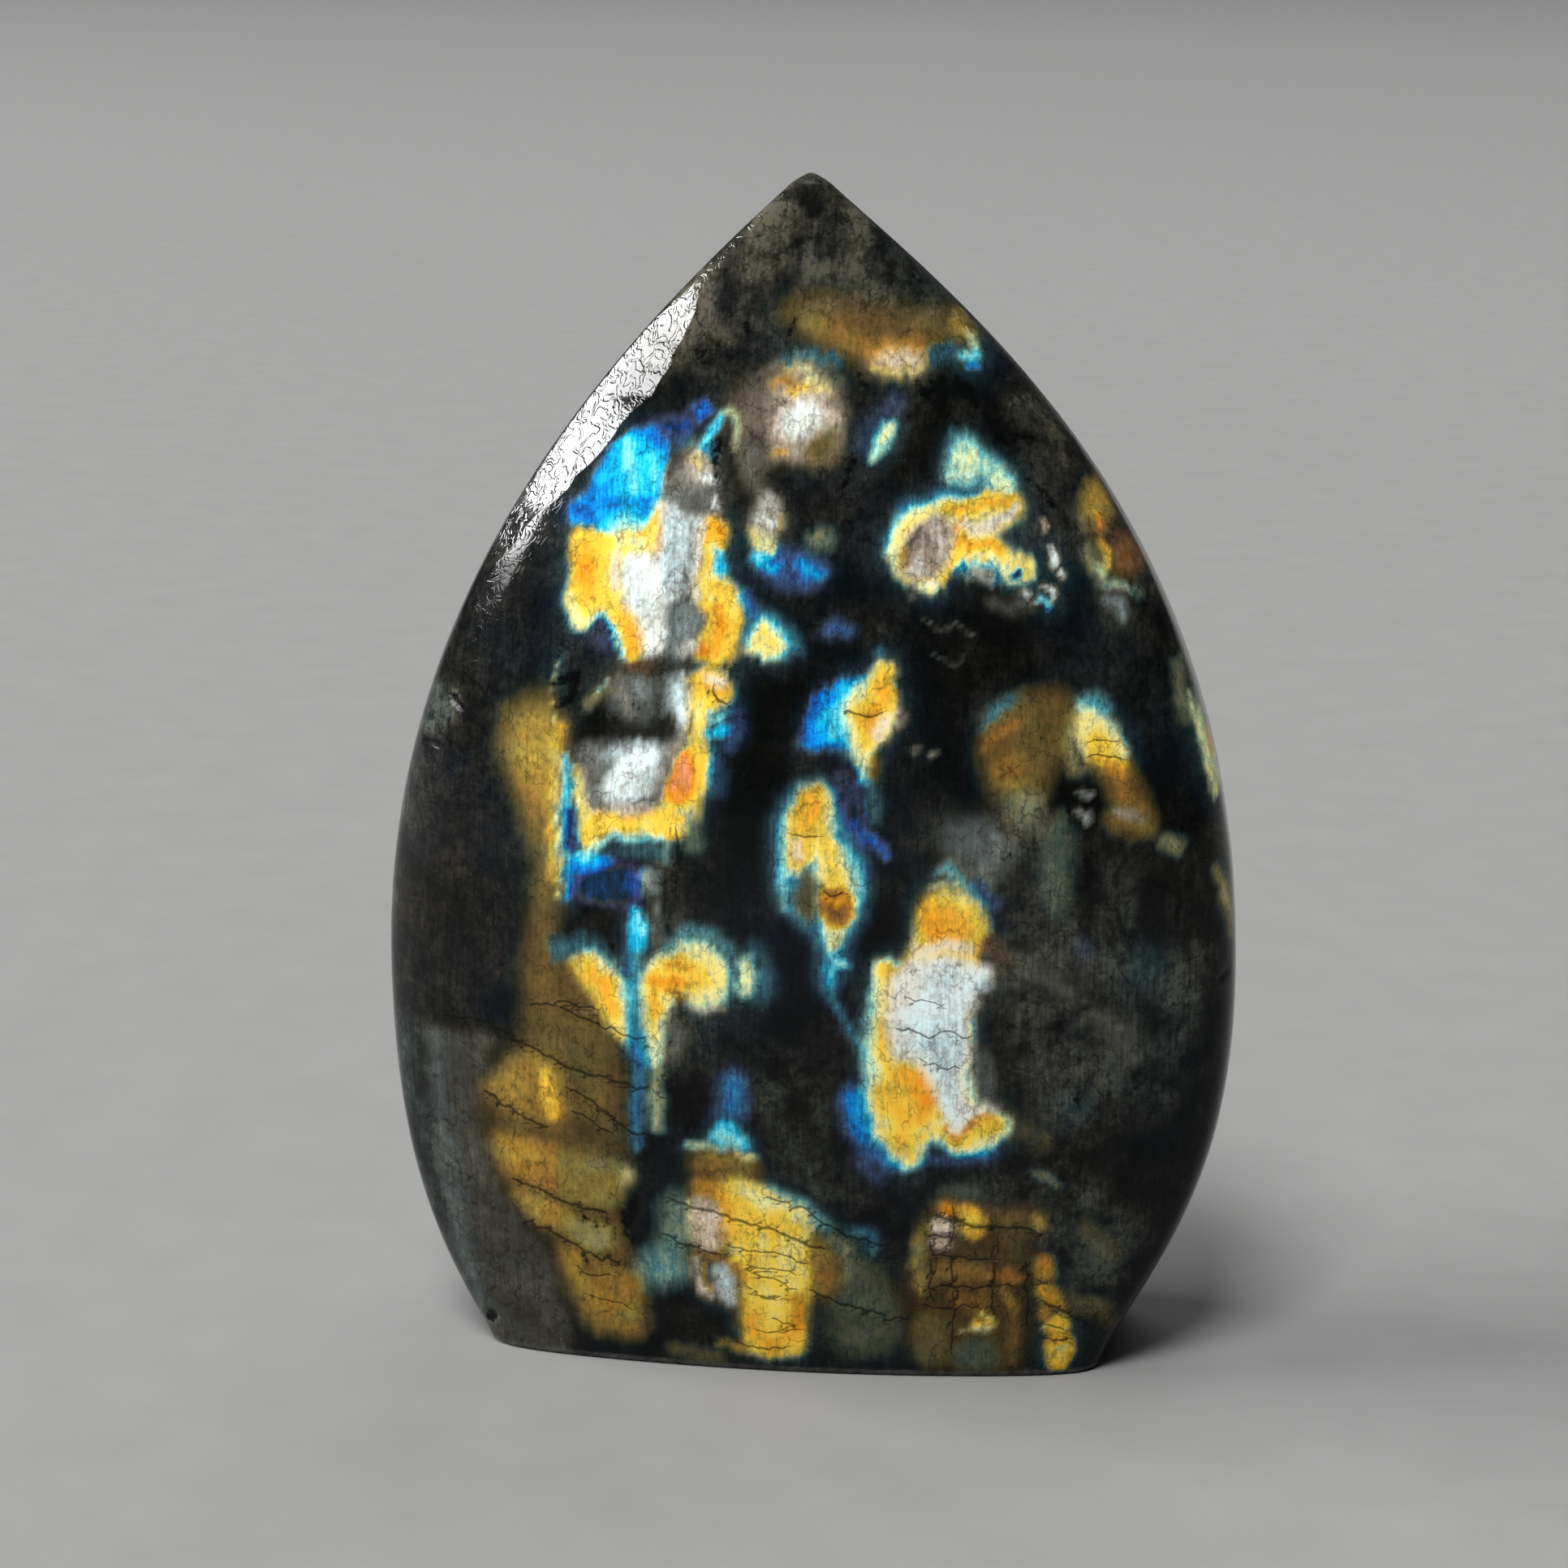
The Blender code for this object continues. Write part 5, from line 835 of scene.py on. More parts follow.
# Cracks, as (half width, points).
CRACKS = [
    (0.16, [(-26.2, 30.9), (-23.2, 29.1), (-21.8, 28.6), (-19.6, 27.8), (-17.2, 27.0), (-14.2, 26.4),
            (-11.8, 26.0)]),
    (0.10, [(-20.6, 32.8), (-16.9, 31.6), (-14.2, 30.8), (-11.6, 29.8)]),
    (0.09, [(-22.6, 32.8), (-19.0, 33.0), (-16.0, 32.6)]),
    (0.13, [(-19.4, 26.0), (-16.9, 24.5), (-15.3, 23.2), (-14.0, 22.4), (-11.6, 21.7)]),
    (0.09, [(-19.0, 23.6), (-17.0, 22.8), (-15.0, 21.6)]),
    (0.14, [(-26.7, 24.9), (-25.1, 23.6), (-22.9, 22.7), (-20.4, 21.9)]),
    (0.15, [(-24.2, 16.6), (-21.8, 16.0), (-19.6, 14.9), (-18.0, 14.7), (-15.8, 14.4)]),
    (0.15, [(-23.2, 13.3), (-20.7, 12.2), (-19.1, 11.2), (-16.9, 10.1), (-14.8, 9.6)]),
    (0.07, [(-19.4, 9.2), (-17.6, 8.6), (-15.6, 8.4)]),
    (0.07, [(-18.6, 6.6), (-16.6, 6.2), (-14.0, 5.2)]),
    (0.08, [(-30.8, 31.4), (-28.2, 30.7), (-25.6, 30.4)]),
    (0.15, [(-11.0, 16.4), (-9.0, 15.6), (-6.5, 15.1), (-4.0, 14.4), (-2.2, 14.0), (-0.5, 13.2),
            (1.5, 12.4), (3.0, 12.2)]),
    (0.12, [(-11.4, 12.9), (-9.8, 12.1), (-8.0, 11.5), (-6.0, 11.1)]),
    (0.10, [(-6.2, 12.3), (-4.0, 11.8), (-1.5, 11.5), (1.2, 11.0)]),
    (0.10, [(-4.6, 10.1), (-3.0, 9.3), (-1.5, 8.9), (0.3, 8.2)]),
    (0.08, [(-4.4, 8.2), (-2.4, 7.4), (0.0, 7.2)]),
    (0.13, [(0.8, 8.1), (3.0, 7.4), (5.0, 6.5), (8.0, 5.7), (9.8, 5.6)]),
    (0.12, [(-2.7, 16.8), (-0.5, 16.2), (2.0, 15.0), (4.5, 13.5), (8.0, 12.7)]),
    (0.09, [(-5.6, 2.9), (-3.0, 2.3), (-0.4, 2.6)]),
    (0.08, [(-2.2, 5.3), (-0.5, 4.8), (1.0, 4.2)]),
    (0.16, [(11.3, 15.5), (13.0, 15.0), (15.0, 14.6), (17.6, 14.4), (20.6, 14.2)]),
    (0.13, [(20.0, 9.8), (21.6, 9.0)]),
    (0.14, [(20.2, 7.6), (22.0, 6.6), (23.4, 5.8), (24.6, 5.0)]),
    (0.11, [(20.7, 5.4), (22.6, 4.5)]),
    (0.10, [(20.9, 3.6), (23.0, 3.5)]),
    (0.09, [(13.2, 16.8), (13.3, 12.2), (13.2, 7.0), (13.2, 1.6)]),
    (0.10, [(16.8, 11.4), (16.8, 5.8)]),
    (0.10, [(19.2, 11.6), (19.5, 8.4), (19.4, 4.4)]),
    (0.10, [(11.3, 8.9), (13.6, 8.9), (16.8, 9.0), (19.0, 9.1)]),
    (0.09, [(11.2, 11.9), (14.0, 11.6), (17.0, 11.4)]),
    (0.07, [(-4.4, 10.4), (-2.2, 9.9), (0.4, 10.0)]),
    (0.07, [(-4.2, 7.4), (-2.6, 7.3), (-1.2, 6.8)]),
    (0.07, [(-3.8, 4.4), (-1.8, 3.9), (0.6, 4.4)]),
    (0.09, [(11.0, 13.3), (11.9, 13.7), (12.9, 13.3), (13.4, 12.6)]),
    (0.09, [(11.4, 15.0), (11.5, 11.0), (11.3, 7.2)]),
    (0.07, [(16.8, 13.8), (16.9, 9.8), (16.6, 6.4)]),
    (0.09, [(10.0, 7.2), (12.4, 6.6), (14.2, 7.0), (16.0, 7.4)]),
    (0.09, [(20.2, 4.0), (21.6, 3.6), (23.2, 3.8)]),
    (0.09, [(3.9, 58.9), (4.8, 58.0), (6.2, 57.9), (7.4, 58.4)]),
    (0.07, [(-0.8, 48.3), (0.8, 48.0), (2.4, 48.3)]),
    (0.09, [(2.0, 43.7), (3.2, 43.3), (4.6, 43.6)]),
    (0.09, [(8.2, 32.3), (9.6, 32.1), (11.2, 31.6), (13.0, 32.0), (14.4, 31.2)]),
    (0.07, [(9.0, 35.0), (10.8, 34.5), (12.6, 34.1)]),
    (0.07, [(9.6, 29.7), (12.0, 29.0), (14.2, 28.7)]),
    (0.09, [(-6.9, 60.4), (-6.8, 59.4), (-6.2, 58.6), (-5.4, 58.0)]),
    (0.09, [(-9.6, 48.9), (-9.5, 47.0), (-9.7, 45.0)]),
    (0.07, [(23.2, 55.8), (24.6, 56.0), (26.0, 55.7)]),
    (0.07, [(23.0, 54.6), (24.8, 54.7), (26.6, 54.2)]),
    (0.07, [(-11.6, 27.6), (-10.9, 26.9), (-10.2, 26.7)]),
    (0.07, [(-12.0, 25.8), (-11.2, 25.3), (-10.2, 25.1)]),
]

# How far from a crack its mask reaches. A crack thins out over its last 1 - CRACK_TAPER millimetres at either
# end, and half its width is never less than THINNEST.
CRACK_REACH = 0.55
CRACK_TAPER = 0.25
THINNEST = 0.01

# On the front the pattern drifts and wobbles a little, and its level edges are combed upright.
DRIFT_ACROSS, DRIFT_UP = (0.24, 3.2, 31), (0.24, 3.2, 33)
WOBBLE_ACROSS = (0.20, 1.1, 32)
COMB_UP = (0.34, (0.45, 3.0, 2.6), 34)

# Behind y = BACK_FROM the same pattern is turned end for end, with its middle and its top moved and its size
# changed a little. It drifts BACK_DRIFT times as far there, and comes up to that from the front over these y.
BACK_FROM = 3.0
BACK_MIDDLE, BACK_WIDTH = 1.5, 0.94
BACK_TOP, BACK_HEIGHT = 93.0, 0.95
BACK_DRIFT = 5.0
DRIFT_GROWS = (-3.0, 1.0)

# On the sides the pattern moves outwards by SIDE_SHIFT for each millimetre behind y = -SIDE_FROM, and that
# line wanders. It is gone in the middle of the sides and comes up, raggedly, over these y on the front and on
# the back.
SIDE_SHIFT, SIDE_FROM = 1.0, 1.3
SIDE_WANDER = (1.9, 2.8, 49)
FRONT_FADE, BACK_FADE = (1.5, -1.5), (5.0, 9.0)
RAGGED_FADE = (1.6, 2.6, 48)

# The faint glimmer of the stone between the flashes: its heat and how that varies, and its strength and where
# it comes and goes. The higher GLIMMER_SPREAD is, the more of the stone glimmers.
GLIMMER_HEAT, GLIMMER_HEATS = 0.16, (0.10, 6.0, 37)
GLIMMER_STRENGTH, GLIMMERS = 0.012, (0.9, 8.0, 36)
GLIMMER_SPREAD = 0.5

# How the flashes vary within themselves. Their heat does so only where it is high: from the first of
# VARIED_HEAT on, and fully from the second.
HEAT_LUMPS, HEAT_SPECKS = (0.05, 2.4, 38), (0.03, 0.9, 40)
VARIED_HEAT = (0.4, 0.5)
MEAN_STRENGTH, STRENGTH_LUMPS = 0.88, (0.20, 1.8, 39)

# The dim glow round each flash that is hotter and stronger than HALO_OF.
HALO_OF = (0.2, 0.55)
HALO_HEAT, HALO_STRENGTH, HALO_RIM = 0.27, 0.08, 3.4

# A flash hotter than PALE_FROM is pale, from warm beige to the bluish white of 1. It lies over PALE_OVER, and
# stone whose flash is weaker than BARE_BELOW counts as bare.
PALE_FROM = 0.8
PALE_OVER = 0.52
BARE_BELOW = 0.35

# On bare stone a flash takes on its colour before its strength, by these shares of its rim. A strong flash
# does so later in some places, and is ringed there with the colours of lower heat.
EARLY, EARLY_PALE, RINGED_LATER = 0.45, 0.6, 0.30
RINGED_STRENGTH = (0.2, 0.6)
RINGED_SPREAD, RINGED_PLACES = 0.2, (0.9, 4.5, 35)

# The grey where nothing is painted, what the sides add to it and over which depth, how it varies, and between
# which factors.
BARE_GREY = (0.09, 0.5)
SIDE_GREY, SIDE_GREY_DEPTH = 0.20, 6.0
GREY_CLOUDS, GREY_LUMPS = (1.1, 3.6, 46), (0.7, 1.7, 47)
GREY_RANGE = (0.1, 3.0)

# The width of an inclusion's soft edge, and the share of it that lies outside the streak.
INCLUSION_EDGE, INCLUSION_OUTSIDE = 1.1, 0.55

# The flash colours by heat, and the colours of the stone between them.
FLASH_COLOURS = [
    (0.00, (0.004, 0.010, 0.014)),
    (0.08, (0.006, 0.035, 0.090)),
    (0.16, (0.014, 0.105, 0.520)),
    (0.23, (0.004, 0.280, 0.850)),
    (0.29, (0.010, 0.570, 0.860)),
    (0.34, (0.180, 0.800, 0.930)),
    (0.39, (0.500, 0.910, 0.700)),
    (0.42, (0.760, 0.940, 0.560)),
    (0.46, (0.990, 0.900, 0.340)),
    (0.52, (1.000, 0.710, 0.080)),
    (0.60, (1.000, 0.500, 0.040)),
    (0.69, (0.970, 0.340, 0.012)),
    (0.78, (0.880, 0.320, 0.120)),
    (0.88, (0.860, 0.360, 0.200)),
]
PALE_WARM = (0.900, 0.690, 0.480, 1.0)
PALE_COOL = (0.760, 0.980, 1.000, 1.0)
DULL_FLASH = (0.330, 0.300, 0.230, 1.0)
STONE_BLACK = (0.0018, 0.0023, 0.0020, 1.0)
STONE_COOL = (0.047, 0.062, 0.054, 1.0)
STONE_WARM = (0.092, 0.077, 0.048, 1.0)
FROST = (0.180, 0.180, 0.165, 1.0)

# The material's fine noises, each as the size of its lumps in x, y and z, its detail, its roughness and its
# distortion. They run round 0.5.
GRAIN = ((1.0, 1.0, 1.0), 8.0, 0.76, 0.0)
FIBRES = ((0.26, 0.6, 3.6), 4.0, 0.62, 0.0)
FLAKES = ((3.4, 3.4, 3.8), 9.0, 0.74, 0.6)
FLECKS = ((0.45, 0.5, 0.8), 4.0, 0.62, 0.0)
RAGGED = ((0.7, 0.7, 0.7), 5.0, 0.70, 0.0)
POLISH = ((0.6, 0.6, 0.6), 4.0, 0.55, 0.0)
CREASES = ((1.1, 1.1, 1.2), 1.5, 0.50, 1.2)
PEBBLES = ((0.5, 0.5, 0.5), 1.0, 0.55, 0.0)
FLOOR_CLOUDS = ((9.0, 9.0, 9.0), 5.0, 0.55, 0.0)

# Two networks of fine lines, each as the size of its cells, how far its lines wobble, and how wide they are
# to the edge of their core and to their own edge. The wobble is WOBBLE_SCALE times finer than the cells. The
# first network sets in where the grain is low, and the second where the flakes are high.
HAIR_NET = ((0.55, 0.8, 1.3), 0.8, (0.01, 0.075))
HAIR_NET_IN_GRAIN = (0.52, 0.36)
SEAMS = ((1.8, 1.8, 2.5), 0.8, (0.012, 0.055))
SEAMS_IN_FLAKES = (0.44, 0.54)
WOBBLE_SCALE = 2.5

# How ragged the edges of inclusions and cracks are, and from where to where they turn to full black.
# CRACK_NEAR is the part of the mask round a crack over which the crack comes up.
RAGGED_ENDS = (0.3, 0.7, -0.5, 0.5)
BLACK_RAGGED, BLACK_EDGE = 0.9, (0.55, 0.95)
CRACK_RAGGED, CRACK_EDGE = 1.6, (1.5, 0.4)
CRACK_NEAR = (0.1, 0.3)

# Ranges, as low, high, and what they give at low and at high. These shift the heat and the coolness of a
# flash, dull a weak one, and break up the edges of all with flecks.
HEAT_BY_GRAIN = (0.3, 0.7, -0.03, 0.03)
HEAT_BY_FIBRES = (0.3, 0.7, -0.025, 0.025)
COOL_BY_GRAIN = (0.35, 0.65, -0.2, 0.2)
DULL_BY_STRENGTH = (0.10, 0.50, 0.42, 0.0)
EDGE_BY_FLECKS = (0.35, 0.65, -1.2, 1.2)

# What the strength of the flashes and the grey of the stone are multiplied by, in ranges of the patterns.
STRENGTH_FACTORS = [
    ("grain", 0.34, 0.60, 0.82, 1.14),
    ("fibres", 0.34, 0.58, 0.80, 1.12),
    ("net", 0.0, 1.0, 1.0, 0.40),
    ("seams", 0.0, 1.0, 1.0, 0.55),
    ("crack", 0.0, 1.0, 1.0, 0.25),
    ("black", 0.0, 1.0, 1.0, 0.04),
]
GREY_FACTORS = [
    ("flakes", 0.36, 0.66, 0.10, 1.35),
    ("grain", 0.36, 0.64, 0.25, 1.9),
    ("fibres", 0.35, 0.65, 0.6, 1.3),
    ("seams", 0.0, 1.0, 1.0, 0.4),
    ("crack", 0.0, 1.0, 1.0, 0.3),
    ("black", 0.0, 1.0, 1.0, 0.02),
]
FROST_BY_GRAIN = (0.35, 0.6, 0.1, 0.7)

# The polish: its roughness, what black spots and worn places add to that, and its gloss on the broad faces
# and on the shoulders, and where it is worn.
ROUGHNESS_BY_POLISH = (0.3, 0.75, 0.07, 0.15)
BLACK_ROUGHNESS, WORN_ROUGHNESS = 0.12, 0.2
GLOSS_BY_SHOULDER = (0.3, 0.9, 0.09, 0.40)
GLOSS_BY_WEAR = (0.0, 1.0, 1.0, 0.3)
STONE_IOR = 1.54

# The bump: the creases and pebbles of the ripple, and the cracks, as shares of its depth.
BUMP_DEPTH = 0.10
CREASE_EDGE = (0.0, 0.09)
CREASES_BY_SHOULDER = (0.0, 1.0, 0.04, 1.0)
CREASE_SHARE, PEBBLE_SHARE, CRACK_SHARE = 0.20, 0.05, 0.1

# The camera, in the stone's own frame. Its clip distances are in metres.
CAMERA_ANGLE = 26.0
CAMERA_DISTANCE = 288.0
CAMERA_ELEVATION = 14.6
CAMERA_AZIMUTH = 6.6
CAMERA_CLIP = (0.01, 100.0)
AIM_ACROSS, AIM_UP = -2.46, 48.85

# The lights, each as its azimuth from the front, its elevation, its width and height, all in degrees as seen
# from the stone, and its radiance. Their distance and what they aim at are in metres.
LIGHT_DISTANCE = 10.0
AIM = (0.0, 0.0, 0.06)
KEY = (-88.0, 27.0, 32.0, 18.0, 27.0)
FILL = (-15.0, 62.0, 17.0, 17.0, 44.0)
BACK_LIGHT = (165.0, 60.0, 30.0, 20.0, 4.0)
WORLD_COLOUR = (0.92, 0.95, 1.0, 1.0)
WORLD_STRENGTH = 0.05

# The floor, its width in metres.
FLOOR_SIZE = 40.0
FLOOR_COLOUR = (0.190, 0.190, 0.187)
FLOOR_ROUGHNESS = 0.75
FLOOR_BY_CLOUDS = (0.3, 0.7, 0.96, 1.03)


def smooth(share):
    """0 below 0 and 1 above 1, with a soft rise between."""
    share = np.clip(share, 0.0, 1.0)
    return share**2 * (3.0 - 2.0 * share)


def eased(value, start, end):
    """0 at start and 1 at end, with a soft change between. Start may be the higher of the two."""
    return smooth((value - start) / (end - start))


def noise(points, amount, size, seed):
    """Smooth noise at each point, up to this amount either way."""
    values = np.random.default_rng(seed).uniform(-1.0, 1.0, NOISE_VALUES)
    cells = points / np.asarray(size)
    low = np.floor(cells).astype(np.int64)
    share = smooth(cells - low)
    total = np.zeros(len(points))
    for corner in itertools.product((0, 1), repeat=3):
        weight = np.prod(np.where(corner, share, 1.0 - share), axis=1)
        key = np.bitwise_xor.reduce((low + corner) * NOISE_KEYS, axis=1)
        total += weight * values[key % NOISE_VALUES]
    return amount * total


def side_outline(side):
    """Points (distance from the middle line, height) up one side, from the base corner to the tip."""
    corner = Vector((side["base_x"], 0.0))
    widest = Vector((side["widest_x"], side["widest_z"]))
    tip = Vector((TIP_HALF_WIDTH, HEIGHT))
    flare = math.radians(side["base_angle"])
    slope = math.radians(TIP_ANGLE)
    after_corner = corner + side["base_pull"] * Vector((math.cos(flare), math.sin(flare)))
    before_widest = widest - Vector((0.0, side["pull_down"]))
    after_widest = widest + Vector((0.0, side["pull_up"]))
    before_tip = tip + TIP_PULL * Vector((math.cos(slope), -math.sin(slope)))
    lower = geometry.interpolate_bezier(corner, after_corner, before_widest, widest, BEZIER_STEPS)
    upper = geometry.interpolate_bezier(widest, after_widest, before_tip, tip, BEZIER_STEPS)
    return np.array([tuple(point) for point in lower + upper[1:]])


def squareness(height):
    at_base = BASE_ADDS * math.exp(-height / BASE_FADE)
    at_tip = TIP_ADDS * math.exp((height - HEIGHT) / TIP_FADE)
    return SQUARENESS + at_base + at_tip


def half_depth(height):
    """Half the stone's thickness in the middle of the section at this height."""
    if height < THICKEST_Z:
        below = (THICKEST_Z - height) / THICKEST_Z
        return HALF_DEPTH - (HALF_DEPTH - BASE_HALF_DEPTH) * below**2
    above = (height - THICKEST_Z) / (HEIGHT - THICKEST_Z)
    return HALF_DEPTH - (HALF_DEPTH - TIP_HALF_DEPTH) * above**TAPER_POWER


def tip_rounding(height):
    """1 up to the blunt end of the stone, then round to TIP_FLAT at its top."""
    above = max(height - (HEIGHT - TIP_ROUNDING), 0.0) / TIP_ROUNDING
    return math.sqrt(1.0 - (1.0 - TIP_FLAT**2) * above**2)


def spaced(points):
    """The closed line through these points, as RING_POINTS points that crowd on the front and in turns."""
    closed = np.vstack([points, points[:1]])
    steps = np.diff(closed, axis=0)
    lengths = np.hypot(steps[:, 0], steps[:, 1])
    directions = np.unwrap(np.arctan2(steps[:, 1], steps[:, 0]))
    turns = np.abs(np.gradient(directions))
    weights = lengths / lengths.sum() + TURN_SHARE * turns / turns.sum()
    weights = weights * np.where(points[:, 1] < 0.0, FRONT_SHARE, 1.0)
    along = np.concatenate([[0.0], np.cumsum(weights)])
    wanted = np.linspace(0.0, along[-1], RING_POINTS, endpoint=False)
    return np.column_stack([np.interp(wanted, along, axis) for axis in closed.T])


def flattened(x, y, height, left_width):
    """The section with the flat of the left shoulder ground into its front."""
    amount = FLATNESS * eased(height, *FLAT_START) * eased(height, *reversed(FLAT_END))
    inner = np.interp(height, *zip(*FLAT_INNER))
    inner += noise(np.array([[0.0, 0.0, height]]), *FLAT_WANDER)[0]
    outer = MIDDLE_X - FLAT_OUTER * left_width
    front = np.flatnonzero((y < 0.0) & (x < 0.0))
    order = front[np.argsort(x[front])]
    inner_y, outer_y = np.interp((inner, outer), x[order], y[order])
    chord = outer_y + (inner_y - outer_y) * (x - outer) / (inner - outer)
    on_flat = (x > outer) & (x < inner) & (y < 0.0)
    return np.where(on_flat, y + amount * (chord - y), y)


def section(height, right, left):
    """The section at this height, as (x, y) points from the right side round by the back."""
    power = squareness(height)
    rounding = tip_rounding(height)
    turn = np.linspace(0.0, 2.0 * math.pi, DENSE_POINTS, endpoint=False)
    across, deep = np.cos(turn), np.sin(turn)
    reach = (np.abs(across) ** power + np.abs(deep) ** power) ** (-1.0 / power)
    across, deep = across * reach, deep * reach
    right_width, left_width = [np.interp(height, side[:, 1], side[:, 0]) for side in (right, left)]
    x = MIDDLE_X + across * np.where(across > 0.0, right_width, left_width) * rounding
    y = deep * (1.0 - DOME * across**2) * half_depth(height) * rounding
    if FLAT_START[0] < height < FLAT_END[1]:
        y = flattened(x, y, height, left_width)
    return spaced(np.column_stack([x, y]))


def stone_grid():
    """The smooth stone as levels x points x (x, y, z), from the foot to the top."""
    right, left = side_outline(RIGHT_SIDE), side_outline(LEFT_SIDE)
    base = section(0.0, right, left)
    half_size = np.ptp(base, axis=0) / 2.0
    levels = []
    for turn in np.linspace(0.0, math.pi / 2.0, FOOT_LEVELS, endpoint=False):
        inset = BASE_CHAMFER * (1.0 - math.sin(turn))
        height = BASE_CHAMFER * (1.0 - math.cos(turn))
        levels.append((height, base * (half_size - inset) / half_size))
    top = HEIGHT - TIP_ROUNDING
    heights = np.linspace(BASE_CHAMFER, top, LEVELS)
    over_tip = top + TIP_ROUNDING * np.sin(np.linspace(0.0, math.pi / 2.0, TIP_LEVELS))
    for height in np.concatenate([heights, over_tip[1:]]):
        levels.append((height, section(height, right, left)))
    return np.array([np.column_stack([ring, np.full(RING_POINTS, height)]) for height, ring in levels])


def outward(grid):
    """The outward normal at each point of the grid."""
    around = np.roll(grid, -1, axis=1) - np.roll(grid, 1, axis=1)
    normals = np.cross(around, np.gradient(grid, axis=0))
    return normals / np.linalg.norm(normals, axis=2, keepdims=True)


def rounded(outline):
    """The closed outline with its corners cut twice."""
    points = np.array(outline, float)
    for _ in range(2):
        following = np.roll(points, -1, axis=0)
        cut = np.stack([0.75 * points + 0.25 * following, 0.25 * points + 0.75 * following], axis=1)
        points = cut.reshape(-1, 2)
    return points


def near_segment(x, z, start, end):
    """How far along the segment each point lies, as a share of it, and how far from it."""
    dx, dz = end[0] - start[0], end[1] - start[1]
    square = max(dx * dx + dz * dz, 1e-9)
    along = np.clip(((x - start[0]) * dx + (z - start[1]) * dz) / square, 0.0, 1.0)
    return along, np.hypot(x - start[0] - along * dx, z - start[1] - along * dz)


def depth_in_streak(x, z, spine):
    """How far each point lies inside the streak, less than 0 outside it."""
    depth = np.full(len(x), -np.inf)
    for start, end in zip(spine, spine[1:] or spine):
        along, distance = near_segment(x, z, start, end)
        depth = np.maximum(depth, start[2] + (end[2] - start[2]) * along - distance)
    return depth


def depth_in_outline(x, z, outline):
    """How far each point lies inside the rounded outline, less than 0 outside it."""
    points = rounded(outline)
    inside = np.zeros(len(x), bool)
    for (x0, z0), (x1, z1) in zip(points, np.roll(points, -1, axis=0)):
        crosses = (z0 > z) != (z1 > z)
        inside ^= crosses & (x < (x1 - x0) * (z - z0) / (z1 - z0 or 1.0) + x0)
    edge = [(px, pz, 0.0) for px, pz in points]
    distance = -depth_in_streak(x, z, edge + edge[:1])
    return np.where(inside, distance, -distance)


def covered(x, z, rim, shape):
    """The points near a shape, and how far each lies within it: 0 where it sets in and 1 where it is full."""
    corners = np.array([point[:2] for point in shape])
    radius = max((point[2] for point in shape if len(point) == 3), default=0.0)
    margin = 2.0 * rim + radius
    low, high = corners.min(axis=0) - margin, corners.max(axis=0) + margin
    near = (x > low[0]) & (x < high[0]) & (z > low[1]) & (z < high[1])
    measure = depth_in_outline if len(shape[0]) == 2 else depth_in_streak
    return near, 0.5 + measure(x[near], z[near], shape) / rim


def paint(layers, x, z, start):
    """Two fields over the points, each layer painted over what lies below it."""
    fields = [np.full(len(x), value) for value in start]
    for *values, rim, shape in layers:
        near, depth = covered(x, z, rim, shape)
        for field, value in zip(fields, values):
            field[near] += (value - field[near]) * smooth(depth)
    return fields


def halos():
    """A dim blue glow round each bright flash."""
    bright = [layer for layer in FLASHES if layer[0] and layer[0] > HALO_OF[0] and layer[1] > HALO_OF[1]]
    return [(HALO_HEAT, HALO_STRENGTH, rim + HALO_RIM, shape) for _, _, rim, shape in bright]


def paint_flashes(x, z, heat, strength, ring):
    """Paints the flashes into heat and strength, and gives their paleness and coolness. Ring is 1 where
    strong flashes are ringed with the colours of lower heat, and 0 where they come up in their own."""
    pale, cool = np.zeros(len(x)), np.full(len(x), 0.5)
    for layer_heat, layer_strength, rim, shape in halos() + FLASHES:
        near, depth = covered(x, z, rim, shape)
        if layer_heat is not None:
            is_pale = layer_heat > PALE_FROM
            later = RINGED_LATER * ring[near] * eased(layer_strength, *RINGED_STRENGTH)
            bare = 1.0 - smooth(strength[near] / BARE_BELOW)
            early = smooth(depth + bare * (EARLY_PALE if is_pale else EARLY - later))
            heat[near] += ((PALE_OVER if is_pale else layer_heat) - heat[near]) * early
            pale[near] += (is_pale - pale[near]) * early
            if is_pale:
                coolness = (layer_heat - PALE_FROM) / (1.0 - PALE_FROM)
                cool[near] += (coolness - cool[near]) * early
        strength[near] += (layer_strength - strength[near]) * smooth(depth)
    return pale, cool


def crack_fields(x, z):
    """The distance to the nearest crack in half widths, signed by the side, and a mask that fades to 0 at
    CRACK_REACH from it."""
    across = np.full(len(x), CRACK_REACH)
    nearest = np.full(len(x), CRACK_REACH)
    for half_width, points in CRACKS:
        sizes = [math.dist(*ends) for ends in zip(points, points[1:])]
        gone = 0.0
        for start, end, size in zip(points, points[1:], sizes):
            along, distance = near_segment(x, z, start, end)
            side = np.sign((z - start[1]) * (end[0] - start[0]) - (x - start[0]) * (end[1] - start[1]))
            to_end = np.minimum(gone + along * size, sum(sizes) - gone - along * size)
            tapered = np.maximum(half_width * smooth(CRACK_TAPER + to_end), THINNEST)
            closer = distance < nearest
            nearest = np.where(closer, distance, nearest)
            across = np.where(closer, side * distance / tapered, across)
            gone += size
    return across, smooth(1.0 - nearest / CRACK_REACH)


def in_pit(x, z, pit_x, pit_z, half_length, half_width, turn):
    """1 in the middle of the pit, 0 at its edge and less outside it."""
    angle = math.radians(turn)
    along = ((x - pit_x) * math.cos(angle) + (z - pit_z) * math.sin(angle)) / half_length
    aside = ((z - pit_z) * math.cos(angle) - (x - pit_x) * math.sin(angle)) / half_width
    return 1.0 - along**2 - aside**2


